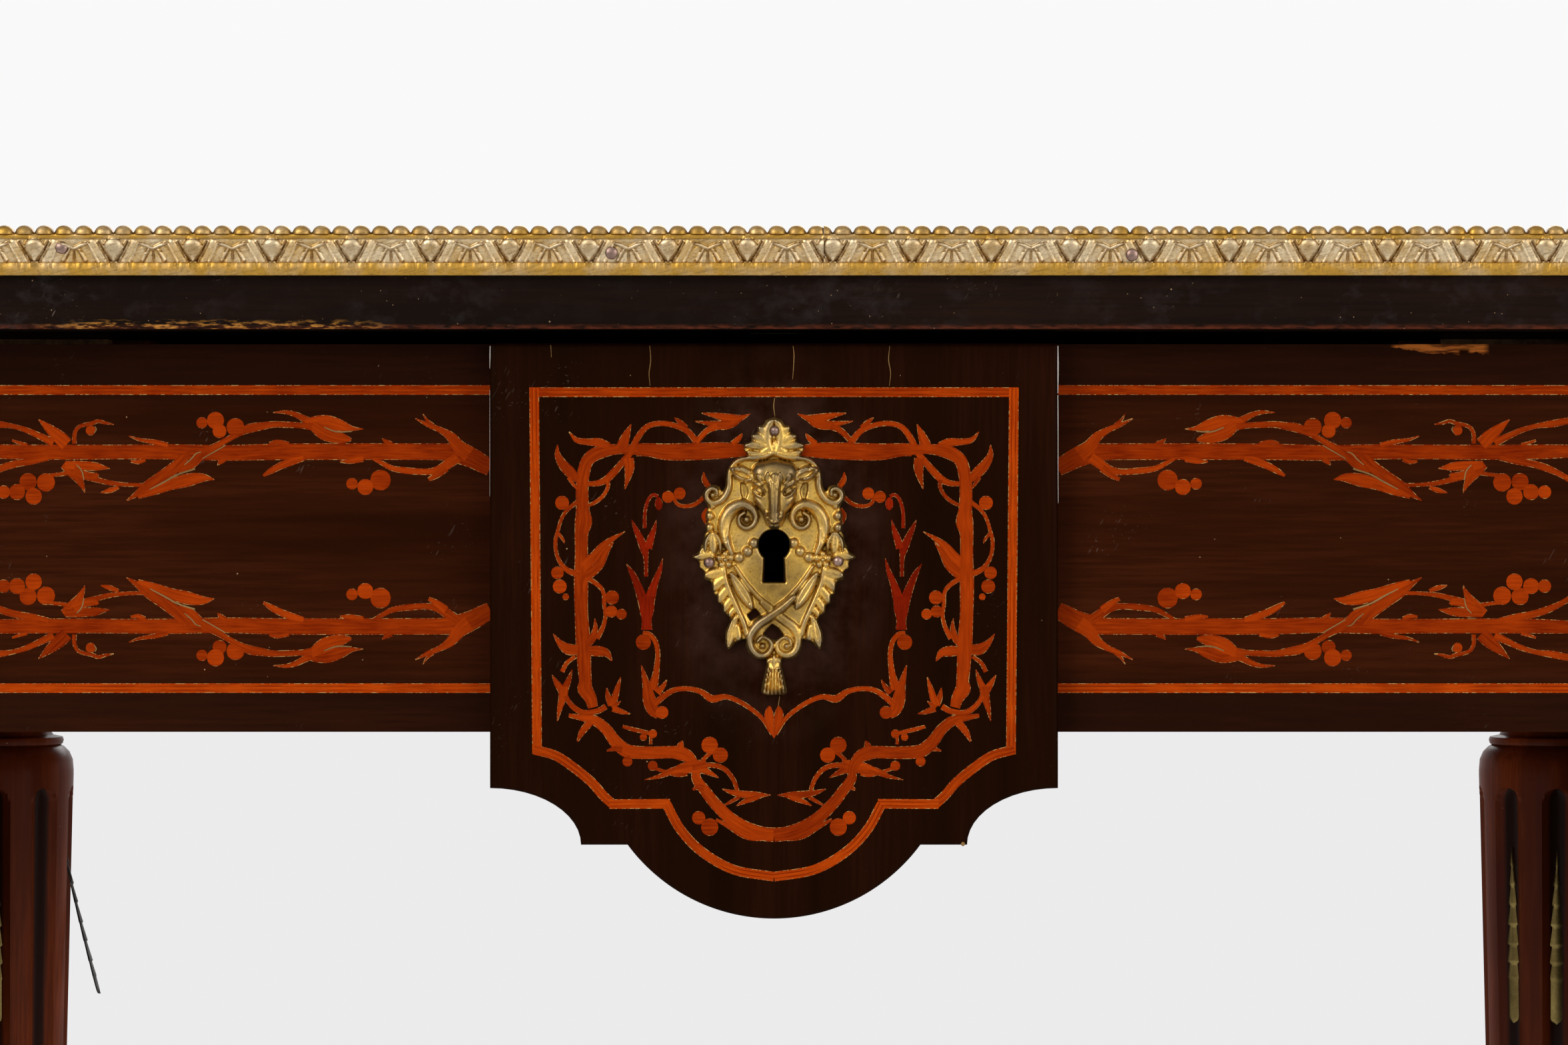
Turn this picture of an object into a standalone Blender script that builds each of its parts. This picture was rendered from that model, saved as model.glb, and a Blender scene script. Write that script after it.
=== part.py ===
"""Drop-leaf side table in the Louis XVI taste, built piece by piece as a cabinetmaker would.

Metres, +Z up, front towards -Y, floor at Z = 0. The leaves hang at rest and the drawer is shut.
"""

import math

import bmesh
import bpy
from mathutils import Matrix, Vector

# Clearances
FIT_GAP = 0.0003  # between glued or screwed faces
SLIDE_GAP = 0.0005  # beside a loper, a bolt or a drawer side
RULE_GAP = 0.0005  # between the ovolo of the top and the cove of a leaf
PIN_GAP = 0.0001  # hinge pin in its knuckles
DRAWER_GAP = 0.001  # drawer front between the dies
KICK_GAP = 0.002  # drawer side under the loper guides
LEAF_CLEARANCE = 0.003  # hanging leaf in front of the dies

# Frame
TABLE_HEIGHT = 0.745
FRAME_WIDTH = 0.656  # over the outer faces of the dies
FRAME_DEPTH = 0.490
FRIEZE_HEIGHT = 0.117
TOP_GAP = 0.004  # shadow gap between the drawer front and the top
DIE_WIDTH = 0.056
APRON_THICKNESS = 0.020
APRON_SETBACK = 0.002  # apron face behind the die face
TENON_LENGTH = 0.022
TENON_THICKNESS = 0.008
TENON_SHOULDER = 0.012
RAIL_RISE = 0.004  # underside of the front rail above the frieze bottom
RAIL_HEIGHT = 0.0185
RAIL_DEPTH = 0.026
RAIL_TENON_SHOULDER = 0.004

# Top and leaves
TOP_THICKNESS = 0.0278
TOP_OVERHANG = 0.018  # wooden edge in front of the frieze
LEAF_DROP = 0.280  # hinge pin to the wooden outer edge of a leaf
RULE_FILLET = 0.004
PIN_HEIGHT = 0.004  # hinge pin above the underside of the top
RULE_STEPS = 12

# Gilt moulding, from its lower fillet up to the row of beads
LOWER_FILLET_HEIGHT = 0.0036
LOWER_FILLET_DEPTH = 0.0030
BAND_HEIGHT = 0.0066
BAND_DEPTH_LOW = 0.0022
BAND_DEPTH_HIGH = 0.0044
UPPER_FILLET_HEIGHT = 0.0018
UPPER_FILLET_DEPTH = 0.0046
BEAD_HEIGHT = 0.0024
BEAD_SEAT_DEPTH = 0.0044
CURVE_STEPS = 5
BUTT_X = 0.015  # where the two front lengths meet

# Table hinges
HINGE_INSET = 0.163  # hinge centre inside the wooden front and rear edges
HINGE_WIDTH = 0.050
FLAP_THICKNESS = 0.0022
SHORT_FLAP = 0.028
LONG_FLAP = 0.054
KNUCKLE_RADIUS = 0.0038
KNUCKLE_GAP = 0.0006
NOTCH_GAP = 0.0024  # flap plate clear of the other flap's knuckle
TONGUE_LAP = 0.0008  # tongue of a flap past the pin
HINGE_PIN_RADIUS = 0.0018
ROUND_STEPS = 14

# Legs
NECK_RADIUS = 0.0174
NECK_LENGTH = 0.020
COLLAR_RADIUS = 0.023
COLLAR_HEIGHT = 0.003
SHOULDER_RADIUS = 0.0268
SHOULDER_HEIGHT = 0.008
ANKLE_RADIUS = 0.0150
LEG_STEPS = 24
FLUTE_COUNT = 8
FLUTE_WIDTH = 0.011
FLUTE_DEPTH = 0.0034
FLUTE_START = 0.039  # below the die
FLUTE_END = 0.095  # above the floor
FLUTE_SIDES = 14
FLUTE_CAP_STEPS = 3
SABOT_HEIGHT = 0.055
SABOT_TREAD_RADIUS = 0.010
SABOT_BELLY_RADIUS = 0.0150
SABOT_BELLY_HEIGHT = 0.020
SABOT_WAIST_RADIUS = 0.0135
SABOT_WAIST_HEIGHT = 0.040
SABOT_LIP_RADIUS = 0.0180
SABOT_LIP_HEIGHT = 0.006
SPIGOT_RADIUS = 0.0100
SPIGOT_LENGTH = 0.026

# Lopers, the sliding supports of the leaves
LOPER_WIDTH = 0.022
LOPER_HEIGHT = 0.0195
LOPER_LENGTH = 0.129
LOPER_INSET = 0.029  # loper centre inside the inner faces of the dies
GUIDE_WALL = 0.010
GUIDE_FLOOR = 0.005
GUIDE_INSET = 0.012  # guide block starts this far outside the loper's inner end

# Drawer
FRONT_THICKNESS = 0.022
SIDE_THICKNESS = 0.012
DRAWER_REAR_ROOM = 0.046  # between the drawer and the rear apron
BACK_THICKNESS = 0.010
BACK_STEP = 0.006  # top of the back below the sides
BOTTOM_THICKNESS = 0.006
GROOVE_DEPTH = 0.006
GROOVE_RISE = 0.010
RUNNER_WIDTH = 0.021
SIDE_GUIDE_HEIGHT = 0.045

# Lock and keyhole
KEYHOLE_OFFSET = 0.0021  # centre of its round below the middle of the drawer front
KEYHOLE_RADIUS = 0.0047
KEYHOLE_SLOT_TOP = 0.0060
KEYHOLE_SLOT_BOTTOM = 0.0069
KEYHOLE_LENGTH = 0.0111  # from the centre of the round to the foot of the slot
KEYHOLE_STEPS = 10
LOCK_WIDTH = 0.060
LOCK_THICKNESS = 0.014
LOCK_LET_IN = 0.009
LOCK_CLEAR = 0.0025  # case above the groove of the drawer bottom
LOCK_KEY_DEPTH = 0.009
SELVEDGE_THICKNESS = 0.002
SELVEDGE_EAR = 0.008
BOLT_WIDTH = 0.014
BOLT_THICKNESS = 0.005
BOLT_LENGTH = 0.030
BOLT_THROW = 0.009
STRIKE_THICKNESS = 0.0015
STRIKE_BORDER = 0.008

# Shield plaque on the drawer front
PLAQUE_HALF_WIDTH = 0.0853
PLAQUE_STRAIGHT = 0.1336
PLAQUE_SCOOP_WIDTH = 0.0273
PLAQUE_SCOOP_HEIGHT = 0.0170
PLAQUE_FLAT = 0.0140
PLAQUE_LOBE_DROP = 0.0222
PLAQUE_THICKNESS = 0.009
PLAQUE_ROUND = 0.0015
PLAQUE_STEPS = 8

# Cast escutcheon: places from the centre of the keyhole's round, right half
ESCUTCHEON_PLATE = 0.0030
ESCUTCHEON_RELIEF = 0.0100
ESCUTCHEON_CREST = ((0.0, 0.0386), (0.0051, 0.0352), (0.0092, 0.0285), (0.0116, 0.0262), (0.0140, 0.0240))
ESCUTCHEON_VOLUTE = ((0.0146, 0.0180), (0.0177, 0.0180), (0.0201, 0.0173), (0.0212, 0.0150), (0.0197, 0.0124))
ESCUTCHEON_FLOWER = ((0.0204, 0.0075), (0.0210, 0.0), (0.0240, -0.0036), (0.0204, -0.0076))
ESCUTCHEON_SPRAY = ((0.0170, -0.0159), (0.0137, -0.0210), (0.0144, -0.0261), (0.0132, -0.0300))
ESCUTCHEON_KNOT = ((0.0086, -0.0277), (0.0086, -0.0299), (0.0076, -0.0327), (0.0052, -0.0341))
ESCUTCHEON_TASSEL = (
    (0.0036, -0.0341), (0.0025, -0.0352), (0.0035, -0.0427), (0.0028, -0.0447), (0.0, -0.0449)
)
HEAD_BOSS = (0.0, 0.0146, 0.0070, 0.0094)  # x, height, half width, half height
VOLUTE_BOSS = (0.0182, 0.0150, 0.0024, 0.0024)
KNOT_BOSS = (0.0043, -0.0299, 0.0034, 0.0034)
FLOWER_BOSS = (0.0190, -0.0036, 0.0035, 0.0035)
SIDE_BOSS_RISE = 0.0022
BOSS_STEPS = 10
BOSS_TURNS = (0, 23, 46, 69)  # degrees up a boss from its rim

# Places worked out from the sizes
TOP_SURFACE = TABLE_HEIGHT - BEAD_HEIGHT  # the row of beads stands above the wood
TOP_UNDERSIDE = TOP_SURFACE - TOP_THICKNESS
DRAWER_TOP = TOP_UNDERSIDE - TOP_GAP
FRIEZE_BOTTOM = DRAWER_TOP - FRIEZE_HEIGHT
DIE_OUTER_X = FRAME_WIDTH / 2
DIE_INNER_X = DIE_OUTER_X - DIE_WIDTH
DIE_OUTER_Y = FRAME_DEPTH / 2
DIE_INNER_Y = DIE_OUTER_Y - DIE_WIDTH
LEG_X = DIE_OUTER_X - DIE_WIDTH / 2
LEG_Y = DIE_OUTER_Y - DIE_WIDTH / 2
FRAME_TOP = TOP_UNDERSIDE - FIT_GAP
WOOD_HALF_DEPTH = DIE_OUTER_Y + TOP_OVERHANG
PIN_X = DIE_OUTER_X + LEAF_CLEARANCE + PIN_HEIGHT
PIN_Z = TOP_UNDERSIDE + PIN_HEIGHT
RULE_RADIUS = TOP_THICKNESS - RULE_FILLET - PIN_HEIGHT
BRASS_HEIGHT = LOWER_FILLET_HEIGHT + BAND_HEIGHT + UPPER_FILLET_HEIGHT + BEAD_HEIGHT
APRON_OUTER_X = DIE_OUTER_X - APRON_SETBACK
APRON_INNER_X = APRON_OUTER_X - APRON_THICKNESS
REAR_APRON_OUTER = DIE_OUTER_Y - APRON_SETBACK
REAR_APRON_INNER = REAR_APRON_OUTER - APRON_THICKNESS
FRONT_FACE = -DIE_OUTER_Y
FRONT_BACK = FRONT_FACE + FRONT_THICKNESS
RAIL_FRONT = FRONT_BACK + SLIDE_GAP
RAIL_BACK = RAIL_FRONT + RAIL_DEPTH
RAIL_BOTTOM = FRIEZE_BOTTOM + RAIL_RISE
RUNNER_TOP = RAIL_BOTTOM + RAIL_HEIGHT
LOPER_TOP = FRAME_TOP
LOPER_Y = DIE_INNER_Y - LOPER_INSET
LOPER_INNER_X = APRON_OUTER_X - LOPER_LENGTH
HINGE_Y = WOOD_HALF_DEPTH - HINGE_INSET
LOPER_BOTTOM = LOPER_TOP - LOPER_HEIGHT
GUIDE_BOTTOM = LOPER_BOTTOM - SLIDE_GAP - GUIDE_FLOOR
SIDE_OUTER_X = DIE_INNER_X - 2 * DRAWER_GAP
SIDE_INNER_X = SIDE_OUTER_X - SIDE_THICKNESS
SIDE_BOTTOM = RUNNER_TOP + SLIDE_GAP
SIDE_TOP = GUIDE_BOTTOM - KICK_GAP
DRAWER_END = REAR_APRON_INNER - DRAWER_REAR_ROOM
GROOVE_BOTTOM = SIDE_BOTTOM + GROOVE_RISE
GROOVE_TOP = GROOVE_BOTTOM + BOTTOM_THICKNESS + 2 * FIT_GAP
KEYHOLE_Z = (DRAWER_TOP + FRIEZE_BOTTOM) / 2 - KEYHOLE_OFFSET
LOCK_FRONT = FRONT_BACK - LOCK_LET_IN
LOCK_BACK = LOCK_FRONT + LOCK_THICKNESS
LOCK_BOTTOM = GROOVE_TOP + LOCK_CLEAR
BOLT_Y = (LOCK_FRONT + LOCK_BACK) / 2
PLAQUE_BACK = FRONT_FACE - FIT_GAP
PLAQUE_FACE = PLAQUE_BACK - PLAQUE_THICKNESS
ESCUTCHEON_BACK = PLAQUE_FACE - FIT_GAP
NOTCH = KNUCKLE_RADIUS + NOTCH_GAP
BEYOND = 0.002  # how far a cutter runs past the face that it opens


def clear_scene():
    for obj in list(bpy.data.objects):
        bpy.data.objects.remove(obj, do_unlink=True)


def finish(name, colour, roughness, metallic=0.0):
    """A Principled material of one colour."""
    made = bpy.data.materials.new(name)
    made.use_nodes = True
    shader = made.node_tree.nodes["Principled BSDF"]
    shader.inputs["Base Color"].default_value = (*colour, 1.0)
    shader.inputs["Roughness"].default_value = roughness
    shader.inputs["Metallic"].default_value = metallic
    return made


def axis_empty(name, location, turn=(0.0, 0.0, 0.0)):
    """An empty that carries a group of pieces, placed on the axis that the group moves on."""
    empty = bpy.data.objects.new(name, None)
    empty.location = location
    empty.rotation_euler = turn
    bpy.context.scene.collection.objects.link(empty)
    return empty


def place(name, mesh, material, carrier, rounded=False, in_carrier_frame=False):
    """Adds a piece under its carrier, its mesh in world places unless drawn in the carrier's frame."""
    if not in_carrier_frame:
        mesh.transform(carrier.matrix_world.inverted())
    mesh.name = name
    mesh.materials.clear()
    mesh.materials.append(material)
    if rounded:
        mesh.shade_smooth()
        mesh.set_sharp_from_angle(angle=math.radians(35))
    piece = bpy.data.objects.new(name, mesh)
    bpy.context.scene.collection.objects.link(piece)
    piece.parent = carrier
    return piece


def to_mesh(shape):
    bmesh.ops.recalc_face_normals(shape, faces=shape.faces)
    mesh = bpy.data.meshes.new("solid")
    shape.to_mesh(mesh)
    shape.free()
    return mesh


def boxes(*corners):
    """A mesh of boxes, each given by its lowest and highest corner."""
    shape = bmesh.new()
    for low, high in corners:
        middle = (Vector(low) + Vector(high)) / 2
        size = Vector(high) - Vector(low)
        frame = Matrix.Translation(middle) @ Matrix.Diagonal((*size, 1.0))
        bmesh.ops.create_cube(shape, size=1.0, matrix=frame)
    return to_mesh(shape)


def mirrored_x(low, high):
    """The box on the other side of the middle plane."""
    return (-high[0], low[1], low[2]), (-low[0], high[1], high[2])


def prism(outline, axis, start, end, chamfer=0.0):
    """A closed outline run along an axis: (y, z) along X, (x, z) along Y or (x, y) along Z.

    A chamfer is cut round the start face.
    """
    order = {"X": (2, 0, 1), "Y": (0, 2, 1), "Z": (0, 1, 2)}[axis]
    shape = bmesh.new()
    ring = []
    for a, b in outline:
        spot = (a, b, start)
        ring.append(shape.verts.new([spot[i] for i in order]))
    cap = shape.faces.new(ring)
    grown = bmesh.ops.extrude_face_region(shape, geom=[cap])
    step = [(0.0, 0.0, end - start)[i] for i in order]
    moved = [item for item in grown["geom"] if isinstance(item, bmesh.types.BMVert)]
    bmesh.ops.translate(shape, verts=moved, vec=step)
    if chamfer:
        rim = [edge for edge in shape.edges if edge.verts[0] in ring and edge.verts[1] in ring]
        bmesh.ops.bevel(shape, geom=rim, offset=chamfer, segments=2, profile=0.5, affect="EDGES")
    return to_mesh(shape)


def turned(profile, steps):
    """A profile of (radius, height) points, from axis to axis, turned about Z."""
    shape = bmesh.new()
    points = [shape.verts.new((radius, 0.0, height)) for radius, height in profile]
    edges = [shape.edges.new(pair) for pair in zip(points, points[1:])]
    whole = {"cent": (0, 0, 0), "axis": (0, 0, 1), "angle": math.tau, "use_merge": True}
    bmesh.ops.spin(shape, geom=points + edges, steps=steps, **whole)
    bmesh.ops.remove_doubles(shape, verts=shape.verts, dist=1e-6)
    bmesh.ops.dissolve_degenerate(shape, edges=shape.edges, dist=1e-6)
    return to_mesh(shape)


def rod(radius, y_start, y_end, x=0.0, z=0.0):
    """A round bar along Y whose flats lie outside the stated radius."""
    reach = radius / math.cos(math.pi / ROUND_STEPS)
    ring = []
    for step in range(ROUND_STEPS):
        turn = math.tau * step / ROUND_STEPS
        ring.append((x + reach * math.cos(turn), z + reach * math.sin(turn)))
    return prism(ring, "Y", y_start, y_end)


def combined(mesh, tool, operation):
    """The mesh with another joined to it (UNION) or cut from it (DIFFERENCE)."""
    pair = [bpy.data.objects.new("solid", mesh), bpy.data.objects.new("tool", tool)]
    for obj in pair:
        bpy.context.scene.collection.objects.link(obj)
    pair[1].hide_render = True
    pair[1].display_type = "WIRE"
    change = pair[0].modifiers.new("change", "BOOLEAN")
    change.operation = operation
    change.solver = "EXACT"
    change.object = pair[1]
    seen = bpy.context.evaluated_depsgraph_get()
    result = bpy.data.meshes.new_from_object(pair[0].evaluated_get(seen))
    for obj in pair:
        bpy.data.objects.remove(obj, do_unlink=True)
    return result


def joined(mesh, *others):
    for other in others:
        mesh = combined(mesh, other, "UNION")
    return mesh


def cut(mesh, *tools):
    for tool in tools:
        mesh = combined(mesh, tool, "DIFFERENCE")
    return mesh


def arc(centre, radii, start, end, steps):
    """Points along an arc of an ellipse, angles in degrees."""
    points = []
    for step in range(steps + 1):
        turn = math.radians(start + (end - start) * step / steps)
        points.append((centre[0] + radii[0] * math.cos(turn), centre[1] + radii[1] * math.sin(turn)))
    return points


def mirrored_outline(half):
    """A half outline from top to bottom, closed by its mirror image across the middle line."""
    other = [(-x, z) for x, z in reversed(half) if x > 1e-9]
    return half + other


def keyhole(clearance=0.0):
    """Keyhole outline: a round over a slot that widens to its foot."""
    radius = KEYHOLE_RADIUS + clearance
    top = KEYHOLE_SLOT_TOP / 2 + clearance
    foot = KEYHOLE_SLOT_BOTTOM / 2 + clearance
    meet = math.degrees(math.asin(top / radius))
    half = arc((0.0, KEYHOLE_Z), (radius, radius), 90, meet - 90, KEYHOLE_STEPS)
    half.append((foot, KEYHOLE_Z - KEYHOLE_LENGTH - clearance))
    return mirrored_outline(half)


def end_apron_tenons():
    """Tenons of the right end apron, front and rear, as boxes."""
    middle = (APRON_OUTER_X + APRON_INNER_X) / 2
    low = (middle - TENON_THICKNESS / 2, -DIE_INNER_Y - TENON_LENGTH, FRIEZE_BOTTOM + TENON_SHOULDER)
    high = (middle + TENON_THICKNESS / 2, -DIE_INNER_Y + BEYOND, FRAME_TOP - TENON_SHOULDER)
    back = (low[0], -high[1], low[2]), (high[0], -low[1], high[2])
    return [(low, high), back]


def rear_apron_tenons():
    """Tenons of the rear apron, right and left, as boxes."""
    middle = (REAR_APRON_OUTER + REAR_APRON_INNER) / 2
    low = (DIE_INNER_X - BEYOND, middle - TENON_THICKNESS / 2, FRIEZE_BOTTOM + TENON_SHOULDER)
    high = (DIE_INNER_X + TENON_LENGTH, middle + TENON_THICKNESS / 2, FRAME_TOP - TENON_SHOULDER)
    return [(low, high), mirrored_x(low, high)]


def front_rail_tenons():
    """Tenons of the front rail, right and left, as boxes."""
    middle = (RAIL_FRONT + RAIL_BACK) / 2
    low = (DIE_INNER_X - BEYOND, middle - TENON_THICKNESS / 2, RAIL_BOTTOM + RAIL_TENON_SHOULDER)
    high = (DIE_INNER_X + TENON_LENGTH, middle + TENON_THICKNESS / 2, RUNNER_TOP - RAIL_TENON_SHOULDER)
    return [(low, high), mirrored_x(low, high)]


def mortises():
    """Every tenon of the frame, grown by the fit on all sides."""
    ends = end_apron_tenons()
    tenons = ends + [mirrored_x(*pair) for pair in ends] + rear_apron_tenons() + front_rail_tenons()
    grow = Vector((FIT_GAP, FIT_GAP, FIT_GAP))
    return boxes(*[(Vector(low) - grow, Vector(high) + grow) for low, high in tenons])


def shaft_radius(height):
    """Radius of the tapering shaft at a height."""
    low = SABOT_HEIGHT
    high = FRIEZE_BOTTOM - NECK_LENGTH - COLLAR_HEIGHT - SHOULDER_HEIGHT
    share = (height - low) / (high - low)
    return ANKLE_RADIUS + (SHOULDER_RADIUS - ANKLE_RADIUS) * share


def leg_turning():
    """Turned part of a leg: neck, collar, rounded shoulder, tapering shaft and spigot."""
    collar_top = FRIEZE_BOTTOM - NECK_LENGTH
    collar_bottom = collar_top - COLLAR_HEIGHT
    shoulder = arc(
        (COLLAR_RADIUS - COLLAR_HEIGHT / 2, collar_bottom - SHOULDER_HEIGHT),
        (SHOULDER_RADIUS - COLLAR_RADIUS + COLLAR_HEIGHT / 2, SHOULDER_HEIGHT),
        90, 0, CURVE_STEPS,
    )
    foot = SABOT_HEIGHT + FIT_GAP
    profile = [(0.0, FRIEZE_BOTTOM + BEYOND), (NECK_RADIUS, FRIEZE_BOTTOM + BEYOND)]
    profile += [(NECK_RADIUS, collar_top), (COLLAR_RADIUS, collar_top), (COLLAR_RADIUS, collar_bottom)]
    profile += shoulder
    profile += [(ANKLE_RADIUS, foot), (SPIGOT_RADIUS, foot), (SPIGOT_RADIUS, foot - SPIGOT_LENGTH)]
    profile.append((0.0, foot - SPIGOT_LENGTH))
    return turned(profile, LEG_STEPS)


def flute_cutters():
    """Round-ended flutes that follow the taper, as wide and deep as the shaft is thick."""
    full = shaft_radius(FRIEZE_BOTTOM - FLUTE_START)
    radius_share = (FLUTE_WIDTH**2 / 4 + FLUTE_DEPTH**2) / (2 * FLUTE_DEPTH) / full
    centre_share = 1 + radius_share - FLUTE_DEPTH / full
    heights = [FRIEZE_BOTTOM - FLUTE_START, FLUTE_END]
    sizes = [radius_share * shaft_radius(height) for height in heights]
    rings = []
    for step in range(FLUTE_CAP_STEPS):
        rise = math.radians(80 - 80 * step / FLUTE_CAP_STEPS)
        rings.append((heights[0] - sizes[0] + sizes[0] * math.sin(rise), math.cos(rise)))
    rings += [(heights[0] - sizes[0], 1.0), (heights[1] + sizes[1], 1.0)]
    for step in range(FLUTE_CAP_STEPS):
        fall = math.radians(80 * (step + 1) / FLUTE_CAP_STEPS)
        rings.append((heights[1] + sizes[1] - sizes[1] * math.sin(fall), math.cos(fall)))
    shape = bmesh.new()
    for flute in range(FLUTE_COUNT):
        around = Matrix.Rotation(math.tau * flute / FLUTE_COUNT, 4, "Z")
        loops = []
        for height, share in rings:
            shaft = shaft_radius(height)
            loop = []
            for side in range(FLUTE_SIDES):
                turn = math.tau * side / FLUTE_SIDES
                reach = radius_share * shaft * share
                spot = (centre_share * shaft + reach * math.cos(turn), reach * math.sin(turn), height)
                loop.append(shape.verts.new(around @ Vector(spot)))
            loops.append(loop)
        for upper, lower in zip(loops, loops[1:]):
            for side in range(FLUTE_SIDES):
                after = (side + 1) % FLUTE_SIDES
                shape.faces.new((upper[side], upper[after], lower[after], lower[side]))
        shape.faces.new(loops[0])
        shape.faces.new(loops[-1])
    return to_mesh(shape)


def add_legs(carcass, rosewood):
    half = DIE_WIDTH / 2
    die = boxes(((-half, -half, FRIEZE_BOTTOM), (half, half, FRAME_TOP)))
    blank = joined(cut(leg_turning(), flute_cutters()), die)
    for end, y in (("front", -LEG_Y), ("rear", LEG_Y)):
        for side, x in (("left", -LEG_X), ("right", LEG_X)):
            leg = blank.copy()
            leg.transform(Matrix.Translation((x, y, 0.0)))
            place(f"leg_{end}_{side}", cut(leg, mortises()), rosewood, carcass, rounded=True)


def add_sabots(carcass, brass):
    """Cast brass shoes: a small tread, a belly, a waist and a lip that the ankle stands on."""
    lip = SABOT_HEIGHT - SABOT_LIP_HEIGHT
    belly = arc(
        (SABOT_TREAD_RADIUS, SABOT_BELLY_HEIGHT),
        (SABOT_BELLY_RADIUS - SABOT_TREAD_RADIUS, SABOT_BELLY_HEIGHT),
        0, -90, CURVE_STEPS,
    )
    socket = SPIGOT_RADIUS + FIT_GAP
    floor = SABOT_HEIGHT - SPIGOT_LENGTH - FIT_GAP
    profile = [(0.0, floor), (socket, floor), (socket, SABOT_HEIGHT), (SABOT_LIP_RADIUS, SABOT_HEIGHT)]
    profile += [(SABOT_LIP_RADIUS, lip), (SABOT_WAIST_RADIUS, lip)]
    profile += [(SABOT_WAIST_RADIUS, SABOT_WAIST_HEIGHT), *belly]
    profile.append((0.0, 0.0))
    mesh = turned(profile, LEG_STEPS)
    for end, y in (("front", -LEG_Y), ("rear", LEG_Y)):
        for side, x in (("left", -LEG_X), ("right", LEG_X)):
            shoe = mesh.copy()
            shoe.transform(Matrix.Translation((x, y, 0.0)))
            place(f"sabot_{end}_{side}", shoe, brass, carcass, rounded=True)


def loper_rows():
    """Name and Y of the front and the rear pair of lopers."""
    return (("front", -LOPER_Y), ("rear", LOPER_Y))


def add_frame(carcass, veneer, lining):
    """Aprons and front rail, tenoned into the dies, and the runners and guides of the drawer."""
    notches = []
    for _, y in loper_rows():
        reach = LOPER_WIDTH / 2 + SLIDE_GAP
        low = (APRON_INNER_X - BEYOND, y - reach, LOPER_BOTTOM - SLIDE_GAP)
        notches.append((low, (APRON_OUTER_X + BEYOND, y + reach, FRAME_TOP + BEYOND)))
    reach = DIE_INNER_Y - FIT_GAP
    panel = (APRON_INNER_X, -reach, FRIEZE_BOTTOM), (APRON_OUTER_X, reach, FRAME_TOP)
    apron = cut(joined(boxes(panel), boxes(*end_apron_tenons())), boxes(*notches))
    for side, turn in (("right", 0.0), ("left", math.pi)):
        mesh = apron.copy()
        mesh.transform(Matrix.Rotation(turn, 4, "Z"))
        place(f"end_apron_{side}", mesh, veneer, carcass)
    inside = DIE_INNER_X - FIT_GAP
    panel = (-inside, REAR_APRON_INNER, FRIEZE_BOTTOM), (inside, REAR_APRON_OUTER, FRAME_TOP)
    place("rear_apron", joined(boxes(panel), boxes(*rear_apron_tenons())), veneer, carcass)
    panel = (-inside, RAIL_FRONT, RAIL_BOTTOM), (inside, RAIL_BACK, RUNNER_TOP)
    place("front_rail", joined(boxes(panel), boxes(*front_rail_tenons())), veneer, carcass)
    runner = (
        (DIE_INNER_X - FIT_GAP - RUNNER_WIDTH, RAIL_BACK + FIT_GAP, RAIL_BOTTOM),
        (DIE_INNER_X - FIT_GAP, REAR_APRON_INNER - FIT_GAP, RUNNER_TOP),
    )
    guide = (
        (SIDE_OUTER_X + SLIDE_GAP, -DIE_INNER_Y + FIT_GAP, RUNNER_TOP + FIT_GAP),
        (APRON_INNER_X - FIT_GAP, DIE_INNER_Y - FIT_GAP, RUNNER_TOP + FIT_GAP + SIDE_GUIDE_HEIGHT),
    )
    for side, turned_over in (("right", False), ("left", True)):
        for name, block in (("drawer_runner", runner), ("drawer_guide", guide)):
            spot = mirrored_x(*block) if turned_over else block
            place(f"{name}_{side}", boxes(spot), lining, carcass)


def add_lopers(carcass, rosewood, lining):
    """Leaf supports that slide out under a raised leaf, each in a grooved block under the top."""
    for end, y in loper_rows():
        half = LOPER_WIDTH / 2
        bar = (LOPER_INNER_X, y - half, LOPER_BOTTOM), (APRON_OUTER_X, y + half, LOPER_TOP)
        groove = half + SLIDE_GAP
        wall = groove + GUIDE_WALL
        floor = LOPER_BOTTOM - SLIDE_GAP
        section = [(y - wall, FRAME_TOP), (y - wall, GUIDE_BOTTOM), (y + wall, GUIDE_BOTTOM)]
        section += [(y + wall, FRAME_TOP), (y + groove, FRAME_TOP), (y + groove, floor)]
        section += [(y - groove, floor), (y - groove, FRAME_TOP)]
        start = LOPER_INNER_X + GUIDE_INSET
        stop = APRON_INNER_X - FIT_GAP
        place(f"loper_{end}_right", boxes(bar), rosewood, carcass)
        place(f"loper_{end}_left", boxes(mirrored_x(*bar)), rosewood, carcass)
        place(f"loper_guide_{end}_right", prism(section, "X", start, stop), lining, carcass)
        place(f"loper_guide_{end}_left", prism(section, "X", -stop, -start), lining, carcass)


def hinge_rows():
    """Name and Y of the front and the rear hinge of a leaf."""
    return (("front", -HINGE_Y), ("rear", HINGE_Y))


def hinge_seats():
    """What the hinges need in the underside of the top: flap recesses and a gouge for each knuckle."""
    recesses = []
    gouges = []
    half = HINGE_WIDTH / 2 + FIT_GAP
    ceiling = TOP_UNDERSIDE + FLAP_THICKNESS + FIT_GAP
    for _, y in hinge_rows():
        low = (PIN_X - SHORT_FLAP - FIT_GAP, y - half, TOP_UNDERSIDE - BEYOND)
        high = (PIN_X + RULE_RADIUS + BEYOND, y + half, ceiling)
        recesses += [(low, high), mirrored_x(low, high)]
        for x in (PIN_X, -PIN_X):
            gouges.append(rod(KNUCKLE_RADIUS + KNUCKLE_GAP, y - half, y + half, x, PIN_Z))
    return [boxes(*recesses)] + gouges


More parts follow.
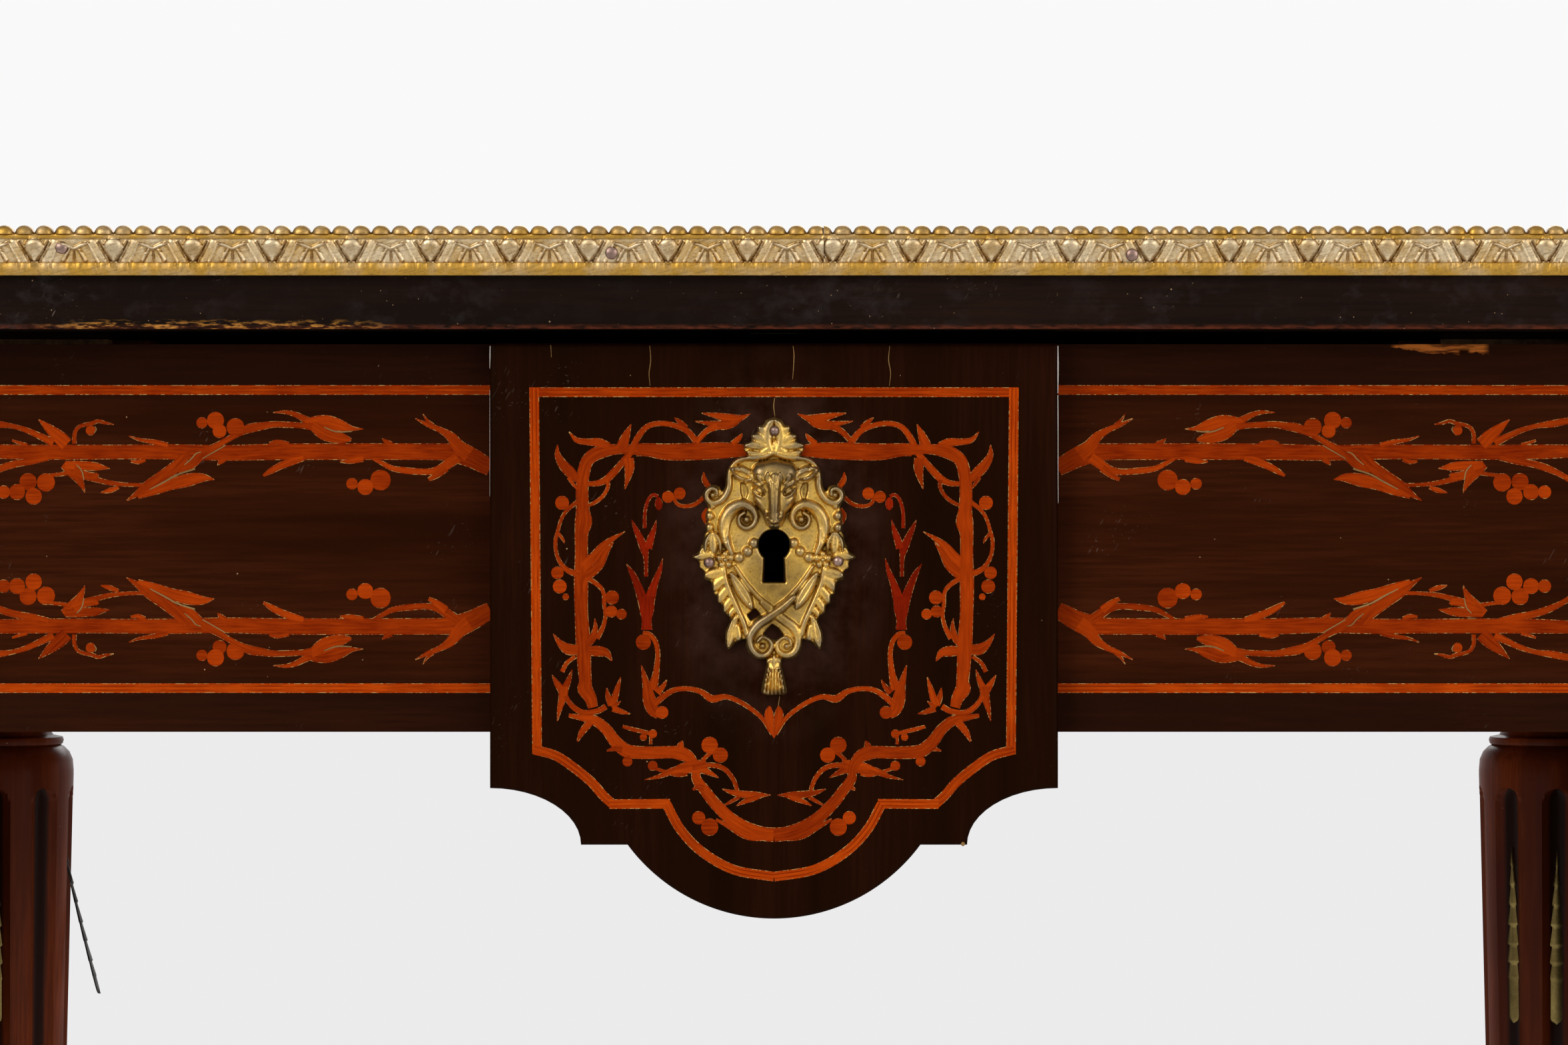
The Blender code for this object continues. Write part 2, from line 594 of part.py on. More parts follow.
def strike_box(grow, low, high):
    """A box round the place of the bolt, larger than the bolt by a border."""
    half_x = BOLT_WIDTH / 2 + grow
    half_y = BOLT_THICKNESS / 2 + grow
    return (-half_x, BOLT_Y - half_y, low), (half_x, BOLT_Y + half_y, high)


def add_top(carcass, veneer, brass):
    """Fixed top: its ends are ovolos round the hinge pins, carried on below the pins to clear the coves."""
    start = -math.degrees(math.asin(PIN_HEIGHT / RULE_RADIUS))
    edge = arc((PIN_X, PIN_Z), (RULE_RADIUS, RULE_RADIUS), start, 90, RULE_STEPS)
    edge.append((PIN_X, TOP_SURFACE))
    outline = edge + [(-x, z) for x, z in reversed(edge)]
    panel = prism(outline, "Y", -WOOD_HALF_DEPTH, WOOD_HALF_DEPTH)
    depth = TOP_UNDERSIDE + BOLT_THROW + SLIDE_GAP - TOP_GAP
    plate = TOP_UNDERSIDE + STRIKE_THICKNESS
    mortise = strike_box(SLIDE_GAP, TOP_UNDERSIDE - BEYOND, depth)
    seat = strike_box(STRIKE_BORDER + FIT_GAP, TOP_UNDERSIDE - BEYOND, plate + FIT_GAP)
    place("top", cut(panel, *hinge_seats(), boxes(seat), boxes(mortise)), veneer, carcass, rounded=True)
    strike = boxes(strike_box(STRIKE_BORDER, TOP_UNDERSIDE, plate))
    slot = boxes(strike_box(SLIDE_GAP, TOP_UNDERSIDE - BEYOND, plate + BEYOND))
    place("strike_plate", cut(strike, slot), brass, carcass)


def moulding_section():
    """Section of the gilt moulding as (depth, height): fillet, cyma band, fillet and bead."""
    band_top = LOWER_FILLET_HEIGHT + BAND_HEIGHT
    bead_bottom = band_top + UPPER_FILLET_HEIGHT
    section = [(0.0, 0.0), (LOWER_FILLET_DEPTH, 0.0), (LOWER_FILLET_DEPTH, LOWER_FILLET_HEIGHT)]
    for step in range(CURVE_STEPS + 1):
        share = step / CURVE_STEPS
        swing = (1 - math.cos(math.pi * share)) / 2
        depth = BAND_DEPTH_LOW + (BAND_DEPTH_HIGH - BAND_DEPTH_LOW) * swing
        section.append((depth, LOWER_FILLET_HEIGHT + BAND_HEIGHT * share))
    section += [(UPPER_FILLET_DEPTH, band_top), (UPPER_FILLET_DEPTH, bead_bottom)]
    round_off = BEAD_HEIGHT / 2
    section += arc((BEAD_SEAT_DEPTH, bead_bottom + round_off), (round_off, round_off), -90, 90, CURVE_STEPS)
    section.append((0.0, BRASS_HEIGHT))
    return section


def moulding(start, end, mitre_start=False, mitre_end=False):
    """A length along X, its back on Y = 0 and its face towards -Y. A mitred end grows with the depth."""
    shape = bmesh.new()
    rings = []
    for stop, mitred, way in ((start, mitre_start, -1), (end, mitre_end, 1)):
        ring = []
        for depth, height in moulding_section():
            run = (depth - FIT_GAP) * way if mitred else 0.0
            ring.append(shape.verts.new((stop + run, -depth, height)))
        rings.append(ring)
    count = len(rings[0])
    for i in range(count):
        after = (i + 1) % count
        shape.faces.new((rings[0][i], rings[0][after], rings[1][after], rings[1][i]))
    shape.faces.new(rings[0])
    shape.faces.new(rings[1])
    return to_mesh(shape)


def add_top_mouldings(carcass, gilt):
    """Front moulding in two lengths that butt right of the middle, and one rear length."""
    seat = WOOD_HALF_DEPTH + FIT_GAP
    stop = PIN_X - RULE_GAP
    base = Matrix.Translation((0.0, 0.0, TABLE_HEIGHT - BRASS_HEIGHT))
    front = base @ Matrix.Translation((0.0, -seat, 0.0))
    rear = base @ Matrix.Translation((0.0, seat, 0.0)) @ Matrix.Rotation(math.pi, 4, "Z")
    lengths = (
        ("top_moulding_front_left", moulding(-stop, BUTT_X - FIT_GAP), front),
        ("top_moulding_front_right", moulding(BUTT_X, stop), front),
        ("top_moulding_rear", moulding(-stop, stop), rear),
    )
    for name, mesh, spot in lengths:
        mesh.transform(spot)
        place(name, mesh, gilt, carcass, rounded=True)


def leaf_panel():
    """A leaf drawn level, with the pin as its origin: cove edge, hinge recesses and plain outer edge."""
    reach = RULE_RADIUS + RULE_GAP
    start = math.degrees(math.acos(RULE_GAP / reach))
    surface = RULE_RADIUS + RULE_FILLET
    outline = [(RULE_GAP, surface)]
    outline += arc((0.0, 0.0), (reach, reach), start, 0, RULE_STEPS)
    outline += [(reach, -PIN_HEIGHT), (LEAF_DROP, -PIN_HEIGHT), (LEAF_DROP, surface)]
    half = HINGE_WIDTH / 2 + FIT_GAP
    recesses = []
    for _, y in hinge_rows():
        low = (reach - BEYOND, y - half, -PIN_HEIGHT - BEYOND)
        recesses.append((low, (LONG_FLAP + FIT_GAP, y + half, -PIN_HEIGHT + FLAP_THICKNESS + FIT_GAP)))
    return cut(prism(outline, "Y", -WOOD_HALF_DEPTH, WOOD_HALF_DEPTH), boxes(*recesses))


def leaf_mouldings():
    """Moulding lengths of a leaf in its own frame: towards -Y, along the outer edge and towards +Y."""
    seat = WOOD_HALF_DEPTH + FIT_GAP
    base = Matrix.Translation((0.0, 0.0, RULE_RADIUS + RULE_FILLET + BEAD_HEIGHT - BRASS_HEIGHT))
    near = moulding(RULE_GAP, LEAF_DROP, mitre_end=True)
    near.transform(base @ Matrix.Translation((0.0, -seat, 0.0)))
    outer = moulding(-WOOD_HALF_DEPTH, WOOD_HALF_DEPTH, mitre_start=True, mitre_end=True)
    edge = Matrix.Translation((LEAF_DROP + FIT_GAP, 0.0, 0.0))
    outer.transform(base @ edge @ Matrix.Rotation(math.pi / 2, 4, "Z"))
    far = moulding(-LEAF_DROP, -RULE_GAP, mitre_start=True)
    far.transform(base @ Matrix.Translation((0.0, seat, 0.0)) @ Matrix.Rotation(math.pi, 4, "Z"))
    return near, outer, far


def flap(way, length, knuckles):
    """A hinge flap round a pin on the Y axis, reaching towards +X or -X. Knuckles are spans of Y."""
    half = HINGE_WIDTH / 2
    plan = [(length, -half), (length, half), (NOTCH, half)]
    for start, stop in reversed(knuckles):
        plan += [(NOTCH, stop), (-TONGUE_LAP, stop), (-TONGUE_LAP, start), (NOTCH, start)]
    plan.append((NOTCH, -half))
    plan = [spot for spot, before in zip(plan, plan[-1:] + plan) if spot != before]
    mesh = prism([(way * x, y) for x, y in plan], "Z", -PIN_HEIGHT, -PIN_HEIGHT + FLAP_THICKNESS)
    for start, stop in knuckles:
        mesh = joined(mesh, rod(KNUCKLE_RADIUS, start + FIT_GAP, stop - FIT_GAP))
    return cut(mesh, rod(HINGE_PIN_RADIUS + PIN_GAP, -half - BEYOND, half + BEYOND))


def add_hinges(carcass, leaf, side, turn, brass):
    """Two hinges of a leaf: short flaps and pins stay with the top, long flaps ride on the leaf."""
    half = HINGE_WIDTH / 2
    span = HINGE_WIDTH / 3
    short = flap(-1, SHORT_FLAP, [(-half, -span / 2), (span / 2, half)])
    long = flap(1, LONG_FLAP, [(FIT_GAP - span / 2, span / 2 - FIT_GAP)])
    pin = rod(HINGE_PIN_RADIUS * math.cos(math.pi / ROUND_STEPS), -half, half)
    pin_place = Matrix.Rotation(turn, 4, "Z") @ Matrix.Translation((PIN_X, 0.0, PIN_Z))
    for end, y in hinge_rows():
        along = Matrix.Translation((0.0, y * math.cos(turn), 0.0))
        for name, part in (("hinge_short_flap", short), ("hinge_pin", pin)):
            mesh = part.copy()
            mesh.transform(pin_place @ along)
            place(f"{name}_{end}_{side}", mesh, brass, carcass, rounded=True)
        mesh = long.copy()
        mesh.transform(along)
        place(f"hinge_long_flap_{end}_{side}", mesh, brass, leaf, rounded=True, in_carrier_frame=True)


def add_leaf(carcass, leaf, side, turn, veneer, gilt, brass):
    """A leaf with its mouldings and hinges. The left leaf is the right one turned half round."""
    place(f"leaf_{side}", leaf_panel(), veneer, leaf, rounded=True, in_carrier_frame=True)
    ends = ("front", "outer", "rear") if turn == 0.0 else ("rear", "outer", "front")
    for end, mesh in zip(ends, leaf_mouldings()):
        place(f"leaf_moulding_{end}_{side}", mesh, gilt, leaf, rounded=True, in_carrier_frame=True)
    add_hinges(carcass, leaf, side, turn, brass)


def add_drawer_box(drawer, lining):
    """Sides, back and bottom. The bottom lies in grooves of the sides and of the front, under the back."""
    groove_x = SIDE_INNER_X + GROOVE_DEPTH
    section = [(SIDE_INNER_X, SIDE_BOTTOM), (SIDE_OUTER_X, SIDE_BOTTOM), (SIDE_OUTER_X, SIDE_TOP)]
    section += [(SIDE_INNER_X, SIDE_TOP), (SIDE_INNER_X, GROOVE_TOP), (groove_x, GROOVE_TOP)]
    section += [(groove_x, GROOVE_BOTTOM), (SIDE_INNER_X, GROOVE_BOTTOM)]
    start = FRONT_BACK + FIT_GAP
    for side, way in (("right", 1), ("left", -1)):
        mesh = prism([(way * x, z) for x, z in section], "Y", start, DRAWER_END)
        place(f"drawer_side_{side}", mesh, lining, drawer)
    reach = groove_x - FIT_GAP
    low = (-reach, FRONT_BACK - GROOVE_DEPTH + FIT_GAP, GROOVE_BOTTOM + FIT_GAP)
    bottom = boxes((low, (reach, DRAWER_END, GROOVE_TOP - FIT_GAP)))
    place("drawer_bottom", bottom, lining, drawer)
    inside = SIDE_INNER_X - FIT_GAP
    back = (-inside, DRAWER_END - BACK_THICKNESS, GROOVE_TOP), (inside, DRAWER_END, SIDE_TOP - BACK_STEP)
    place("drawer_back", boxes(back), lining, drawer)


def add_drawer_front(drawer, veneer):
    """Drawer front between the dies, with the bottom's groove, the lock's mortise and the keyhole."""
    groove_y = FRONT_BACK - GROOVE_DEPTH
    section = [(FRONT_FACE, FRIEZE_BOTTOM), (FRONT_BACK, FRIEZE_BOTTOM), (FRONT_BACK, GROOVE_BOTTOM)]
    section += [(groove_y, GROOVE_BOTTOM), (groove_y, GROOVE_TOP), (FRONT_BACK, GROOVE_TOP)]
    section += [(FRONT_BACK, DRAWER_TOP), (FRONT_FACE, DRAWER_TOP)]
    half = DIE_INNER_X - DRAWER_GAP
    case = LOCK_WIDTH / 2 + FIT_GAP
    seat = LOCK_FRONT - FIT_GAP
    behind = FRONT_BACK + BEYOND
    above = DRAWER_TOP + BEYOND
    mortise = (-case, seat, LOCK_BOTTOM - FIT_GAP), (case, behind, above)
    ear = case + SELVEDGE_EAR
    ledge = (-ear, seat, DRAWER_TOP - SELVEDGE_THICKNESS - FIT_GAP), (ear, behind, above)
    hole = prism(keyhole(FIT_GAP), "Y", FRONT_FACE - BEYOND, LOCK_FRONT + BEYOND)
    front = cut(prism(section, "X", -half, half), boxes(mortise), boxes(ledge), hole)
    place("drawer_front", front, veneer, drawer)


def plaque_outline():
    """Shield: straight sides, a scoop at each lower corner, a short flat and a round lobe."""
    flat = DRAWER_TOP - PLAQUE_STRAIGHT - PLAQUE_SCOOP_HEIGHT
    lobe_half = PLAQUE_HALF_WIDTH - PLAQUE_SCOOP_WIDTH - PLAQUE_FLAT
    lobe_radius = (lobe_half**2 + PLAQUE_LOBE_DROP**2) / (2 * PLAQUE_LOBE_DROP)
    lobe_z = flat - PLAQUE_LOBE_DROP + lobe_radius
    half = [(PLAQUE_HALF_WIDTH, DRAWER_TOP)]
    half += arc((PLAQUE_HALF_WIDTH, flat), (PLAQUE_SCOOP_WIDTH, PLAQUE_SCOOP_HEIGHT), 90, 180, PLAQUE_STEPS)
    start = -math.degrees(math.acos(lobe_half / lobe_radius))
    half += arc((0.0, lobe_z), (lobe_radius, lobe_radius), start, -90, PLAQUE_STEPS)
    return mirrored_outline(half)


def add_plaque(drawer, veneer):
    slab = prism(plaque_outline(), "Y", PLAQUE_FACE, PLAQUE_BACK, chamfer=PLAQUE_ROUND)
    hole = prism(keyhole(), "Y", PLAQUE_FACE - BEYOND, PLAQUE_BACK + BEYOND)
    place("plaque", cut(slab, hole), veneer, drawer)


def escutcheon_outline():
    """Half of the cast plate from the crest down to the tassel, mirrored."""
    half = ESCUTCHEON_CREST + ESCUTCHEON_VOLUTE + ESCUTCHEON_FLOWER
    half += ESCUTCHEON_SPRAY + ESCUTCHEON_KNOT + ESCUTCHEON_TASSEL
    return mirrored_outline([(x, KEYHOLE_Z + z) for x, z in half])


def dome(x, z, half_width, half_height, rise):
    """A low oval boss on the face of the escutcheon, rooted inside the plate."""
    root = -ESCUTCHEON_PLATE / 2 / rise
    turns = [math.radians(turn) for turn in BOSS_TURNS]
    profile = [(math.cos(turn), math.sin(turn)) for turn in turns]
    boss = turned([(0.0, root), (1.0, root), *profile, (0.0, 1.0)], BOSS_STEPS)
    spot = Matrix.Translation((x, ESCUTCHEON_BACK - ESCUTCHEON_PLATE, KEYHOLE_Z + z))
    size = Matrix.Diagonal((half_width, half_height, rise, 1.0))
    boss.transform(spot @ Matrix.Rotation(math.pi / 2, 4, "X") @ size)
    return boss


def add_escutcheon(drawer, gilt):
    """Cast escutcheon: pierced plate with its head, volutes, flowers and knot in relief."""
    face = ESCUTCHEON_BACK - ESCUTCHEON_PLATE
    plate = prism(escutcheon_outline(), "Y", face, ESCUTCHEON_BACK, chamfer=ESCUTCHEON_PLATE / 4)
    raised = [dome(*HEAD_BOSS, ESCUTCHEON_RELIEF - ESCUTCHEON_PLATE)]
    for x, *boss in (VOLUTE_BOSS, KNOT_BOSS, FLOWER_BOSS):
        raised.append(dome(x, *boss, SIDE_BOSS_RISE))
        raised.append(dome(-x, *boss, SIDE_BOSS_RISE))
    hole = prism(keyhole(), "Y", face - ESCUTCHEON_RELIEF, ESCUTCHEON_BACK + BEYOND)
    place("escutcheon", cut(joined(plate, *raised), hole), gilt, drawer, rounded=True)


def add_lock(drawer, carrier, brass, steel):
    """Half-mortise drawer lock: case with its top plate, and a bolt that rises into the top."""
    half = LOCK_WIDTH / 2
    ear = half + SELVEDGE_EAR
    case = boxes(((-half, LOCK_FRONT, LOCK_BOTTOM), (half, LOCK_BACK, DRAWER_TOP - SELVEDGE_THICKNESS / 2)))
    ledge = boxes(((-ear, LOCK_FRONT, DRAWER_TOP - SELVEDGE_THICKNESS), (ear, FRONT_BACK, DRAWER_TOP)))
    shelf = boxes(((-half, LOCK_FRONT, DRAWER_TOP - SELVEDGE_THICKNESS), (half, LOCK_BACK, DRAWER_TOP)))
    floor = DRAWER_TOP - BOLT_LENGTH
    channel = boxes(strike_box(SLIDE_GAP, floor - FIT_GAP, DRAWER_TOP + BEYOND))
    hole = prism(keyhole(), "Y", LOCK_FRONT - BEYOND, LOCK_FRONT + LOCK_KEY_DEPTH)
    place("lock_case", cut(joined(case, ledge, shelf), channel, hole), brass, drawer)
    place("lock_bolt", boxes(strike_box(0.0, floor, DRAWER_TOP)), steel, carrier)


def build_table():
    clear_scene()
    veneer = finish("ebonised_veneer", (0.030, 0.012, 0.010), 0.30)
    rosewood = finish("polished_rosewood", (0.110, 0.030, 0.016), 0.32)
    lining = finish("drawer_lining_oak", (0.330, 0.200, 0.100), 0.60)
    gilt = finish("gilt_bronze", (0.720, 0.500, 0.180), 0.35, 1.0)
    brass = finish("old_brass", (0.520, 0.370, 0.150), 0.42, 1.0)
    steel = finish("lock_steel", (0.260, 0.250, 0.240), 0.45, 1.0)
    carcass = axis_empty("carcass", (0.0, 0.0, 0.0))
    drawer = axis_empty("drawer", (0.0, FRONT_FACE, (DRAWER_TOP + FRIEZE_BOTTOM) / 2))
    bolt = axis_empty("bolt", (0.0, BOLT_Y, DRAWER_TOP))
    right = axis_empty("right_leaf", (PIN_X, 0.0, PIN_Z), (0.0, math.pi / 2, 0.0))
    left = axis_empty("left_leaf", (-PIN_X, 0.0, PIN_Z), (0.0, math.pi / 2, math.pi))
    bpy.context.view_layer.update()
    add_legs(carcass, rosewood)
    add_sabots(carcass, brass)
    add_frame(carcass, veneer, lining)
    add_lopers(carcass, rosewood, lining)
    add_top(carcass, veneer, brass)
    add_top_mouldings(carcass, gilt)
    add_leaf(carcass, right, "right", 0.0, veneer, gilt, brass)
    add_leaf(carcass, left, "left", math.pi, veneer, gilt, brass)
    add_drawer_box(drawer, lining)
    add_drawer_front(drawer, veneer)
    add_plaque(drawer, veneer)
    add_escutcheon(drawer, gilt)
    add_lock(drawer, bolt, brass, steel)


build_table()
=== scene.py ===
# %% [markdown]
# A drop-leaf side table of the later nineteenth century: ebonised and rosewood veneer, branches inlaid in
# orange wood, a cast gilt escutcheon and a chased brass moulding round the top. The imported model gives
# every piece its size and its place, and this lesson adds what the eye looks for: ornament, inlay and old
# finishes.
# %% The frame
import math

import bmesh
import bpy
import numpy as np
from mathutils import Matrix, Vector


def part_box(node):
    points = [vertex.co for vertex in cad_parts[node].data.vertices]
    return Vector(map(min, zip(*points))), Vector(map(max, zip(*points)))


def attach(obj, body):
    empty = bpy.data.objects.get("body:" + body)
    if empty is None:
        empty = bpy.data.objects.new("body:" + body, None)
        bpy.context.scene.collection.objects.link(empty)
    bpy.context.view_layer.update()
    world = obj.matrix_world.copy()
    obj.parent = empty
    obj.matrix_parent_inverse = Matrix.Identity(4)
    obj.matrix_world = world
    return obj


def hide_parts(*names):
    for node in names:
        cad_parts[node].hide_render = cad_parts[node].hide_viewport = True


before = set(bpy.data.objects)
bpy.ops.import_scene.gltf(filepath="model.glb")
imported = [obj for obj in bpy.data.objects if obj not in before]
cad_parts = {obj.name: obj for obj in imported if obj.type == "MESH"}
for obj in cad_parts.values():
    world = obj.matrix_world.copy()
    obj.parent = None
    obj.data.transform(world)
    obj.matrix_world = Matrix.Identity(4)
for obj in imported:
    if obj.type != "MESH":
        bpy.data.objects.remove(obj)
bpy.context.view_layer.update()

MM = 0.001
print("nodes in the frame:", len(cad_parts))

# %% [markdown]
# Every new piece is a grid of points worked out with numpy and handed to the mesh in one go. A grid may
# close on itself in one direction, as a turned leg does, or in both, as a frame with a hole does. Several
# such shells can share one mesh, so a spray of inlay stays a single piece.
# %% Grids into shells
def grid_faces(rows, columns, wrap_rows=False, wrap_columns=False):
    """Four-cornered faces of a grid of points counted row by row, joined round where it wraps."""
    i = np.arange(rows if wrap_rows else rows - 1)[:, None]
    j = np.arange(columns if wrap_columns else columns - 1)[None, :]
    after_i, after_j = (i + 1) % rows, (j + 1) % columns
    corners = i * columns + j, i * columns + after_j, after_i * columns + after_j, after_i * columns + j
    return np.stack(np.broadcast_arrays(*corners), -1).reshape(-1, 4)


def shell(points, wrap_rows=False, wrap_columns=False, caps=False, **marks):
    """A grid of points as one shell: its points, its faces, its end caps and its marks on points."""
    rows, columns = points.shape[:2]
    ends = []
    if caps:
        ends = [tuple(range(columns)), tuple(range((rows - 1) * columns, rows * columns))]
    flat = {name: np.broadcast_to(values, (rows, columns)).ravel() for name, values in marks.items()}
    return points.reshape(-1, 3), grid_faces(rows, columns, wrap_rows, wrap_columns), ends, flat


print("a closed band of 2 rows and 6 columns has", len(grid_faces(2, 6, wrap_columns=True)), "faces")

# %% [markdown]
# A piece is finished in one place. Its mesh gets the points, faces and marks of all its shells, the
# normals are turned outwards, and edges stay sharp where faces meet at more than a limit. Then the piece
# rides on a body of the table, says what it is made of, and hides the plain nodes that it replaces.
# %% Shells into a piece
def make_piece(name, shells, material, body, replaces=(), sharp=40):
    """One mesh from several shells, with the numbers of each shell's points counted on from the last."""
    starts = np.cumsum([0] + [len(one[0]) for one in shells])
    faces = [tuple(face) for one, start in zip(shells, starts) for face in (one[1] + start).tolist()]
    faces += [tuple(i + int(s) for i in end) for one, s in zip(shells, starts) for end in one[2]]
    mesh = bpy.data.meshes.new(name)
    mesh.from_pydata(np.concatenate([one[0] for one in shells]).tolist(), [], faces)
    for label in shells[0][3]:
        layer = mesh.attributes.new(label, "FLOAT", "POINT")
        layer.data.foreach_set("value", np.concatenate([one[3][label] for one in shells]).astype(np.float32))
    work = bmesh.new()
    work.from_mesh(mesh)
    bmesh.ops.recalc_face_normals(work, faces=work.faces)
    work.to_mesh(mesh)
    work.free()
    mesh.shade_smooth()
    mesh.set_sharp_from_angle(angle=math.radians(sharp))
    mesh.materials.append(material)
    made = bpy.data.objects.new(name, mesh)
    bpy.context.scene.collection.objects.link(made)
    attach(made, body)
    if replaces:
        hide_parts(*replaces)
    print(name, "has", len(faces), "faces")
    return made


# %% [markdown]
# The finishes are node trees on Object coordinates, so that a pattern stays on its piece. A few short
# helpers keep them readable: one adds a node and links or sets its sockets, and the others give a
# stretched coordinate, a noise, a mapped range, a step of arithmetic, a mix of colours and a mark that
# was stored on the points.
# %% Node helpers
def paint(red, green, blue):
    """A colour written as it looks on a screen, from 0 to 255, turned into light."""
    share = np.array([red, green, blue]) / 255
    light = np.where(share <= 0.04045, share / 12.92, ((share + 0.055) / 1.055) ** 2.4)
    return (*light.tolist(), 1.0)


def node(tree, kind, sockets=(), **settings):
    """Adds a node. A socket given another node's output is linked, and any other value is set."""
    made = tree.nodes.new("ShaderNode" + kind)
    for name, value in settings.items():
        setattr(made, name, value)
    for name, value in dict(sockets).items():
        if isinstance(value, bpy.types.NodeSocket):
            tree.links.new(value, made.inputs[name])
        else:
            made.inputs[name].default_value = value
    return made


def place_in(tree, scale=(1, 1, 1), turn=(0, 0, 0)):
    """Object coordinates, turned and then scaled."""
    whole = node(tree, "TexCoord").outputs["Object"]
    turned = node(tree, "Mapping", {"Vector": whole, "Rotation": turn}).outputs[0]
    return node(tree, "Mapping", {"Vector": turned, "Scale": scale}).outputs[0]


def noise(tree, where, scale, detail=3.0, rough=0.55):
    """A cloudy pattern around one half. Its scale is about the number of clouds in a metre."""
    sockets = {"Vector": where, "Scale": scale, "Detail": detail, "Roughness": rough}
    return node(tree, "TexNoise", sockets).outputs[0]


def mapped(tree, value, low, high, start=0.0, end=1.0):
    """The share of the way from low to high, turned into a number from start to end."""
    sockets = {"Value": value, "From Min": low, "From Max": high, "To Min": start, "To Max": end}
    return node(tree, "MapRange", sockets).outputs[0]


def sums(tree, operation, first, second=0.0):
    """One step of arithmetic."""
    return node(tree, "Math", {0: first, 1: second}, operation=operation).outputs[0]


def plus(tree, first, second):
    return sums(tree, "ADD", first, second)


def times(tree, first, second):
    return sums(tree, "MULTIPLY", first, second)


def between(tree, share, first, second):
    """A mix of two colours."""
    return node(tree, "Mix", {0: share, 6: first, 7: second}, data_type="RGBA").outputs[2]


def mark(tree, name):
    """A number that was stored on the points of a mesh."""
    return node(tree, "Attribute", attribute_name=name).outputs["Fac"]


print("middle grey on a screen is", round(paint(128, 128, 128)[0], 3), "as light")

# %% [markdown]
# Every finish starts from the same shader and ends with the same three links: colour, roughness and a
# bump. What is constant is set on the shader itself.
# %% A finish and its links
def finish(name, roughness=0.4, metallic=0.0, specular=0.5):
    """A new material with its constant values set on the shader itself."""
    made = bpy.data.materials.new(name)
    made.use_nodes = True
    shader = made.node_tree.nodes["Principled BSDF"]
    shader.inputs["Roughness"].default_value = roughness
    shader.inputs["Metallic"].default_value = metallic
    shader.inputs["Specular IOR Level"].default_value = specular
    return made, made.node_tree, shader


def connect(tree, shader, colour, roughness=None, height=None, depth=0.0001, strength=0.5):
    """Colour, roughness and a bump, as deep as said in metres, go to the shader."""
    tree.links.new(colour, shader.inputs["Base Color"])
    if roughness is not None:
        tree.links.new(roughness, shader.inputs["Roughness"])
    if height is not None:
        bump = node(tree, "Bump", {"Height": height, "Distance": depth, "Strength": strength})
        tree.links.new(bump.outputs[0], shader.inputs["Normal"])


print("materials before the first finish:", len(bpy.data.materials))

# %% [markdown]
# Old polish has hairline scratches and specks of dust and lost polish. They could be painted on, but a
# pattern reaches every face. Scratches are thin crests of a noise that is squeezed along an odd
# direction, and specks are the middles of a few small cells.
# %% Scratches and specks
SCRATCH = paint(128, 112, 100)
SPECK = paint(160, 128, 92)
SCRATCH_SQUEEZE = 0.016
SCRATCH_PATCHES = 45


def scratch_share(tree, turn, fineness, threshold):
    """Hairlines: the crests of a noise squeezed sixty to one along a turned direction, in rare patches."""
    along = place_in(tree, (SCRATCH_SQUEEZE, 1, 1), (turn, turn * 0.7, turn))
    crests = mapped(tree, noise(tree, along, fineness, 1.0, 0.3), threshold, threshold + 0.06)
    patches = noise(tree, place_in(tree), SCRATCH_PATCHES, 2.0)
    return times(tree, crests, mapped(tree, patches, 0.6, 0.8, 0, 0.6))


def speck_share(tree, scale, size, bare):
    """Dots: the middles of the few cells of a cell pattern whose own number is above a limit."""
    cells = node(tree, "TexVoronoi", {"Vector": place_in(tree), "Scale": scale})
    number = node(tree, "SeparateColor", {0: cells.outputs["Color"]}).outputs[0]
    middle = mapped(tree, cells.outputs["Distance"], size, size / 2)
    return times(tree, middle, mapped(tree, number, bare, bare + 0.04))


print("scratches are", round(1 / SCRATCH_SQUEEZE), "times as long as they are wide")

# %% [markdown]
# Ebonised veneer is dark brown with a redder figure that shows where the polish is thin. Its long fibres
# come from a noise squeezed across the grain. The grain runs along the frieze, down the leaves and down
# the legs.
# %% Veneer
GRAIN = {"X": (0.05, 1, 1), "Y": (1, 0.05, 1), "Z": (1, 1, 0.05)}
BROWN, BROWN_WARM = paint(30, 9, 2), paint(64, 27, 10)
EBONY, EBONY_WARM = paint(15, 8, 5), paint(36, 20, 13)
ROSEWOOD, ROSEWOOD_WARM = paint(66, 24, 8), paint(136, 60, 22)
# Fineness of figure, fibres and clouds, turn, fineness and threshold of two sets of scratches, and specks.
FIGURE, FIBRES, CLOUDS = 55, 900, 9
HAIRLINES = ((0.9, 1300, 0.7), (-0.45, 1700, 0.71))
SPECKS = (210.0, 0.06, 0.86)
# Roughness of the polish, its gloss on dull, waxed and rosewood faces, and depth and strength of its bump.
POLISH = (0.30, 0.36)
DULL, WAXED, BRIGHT = 0.01, 0.03, 0.06
GRAIN_BUMP = (0.00003, 0.35)


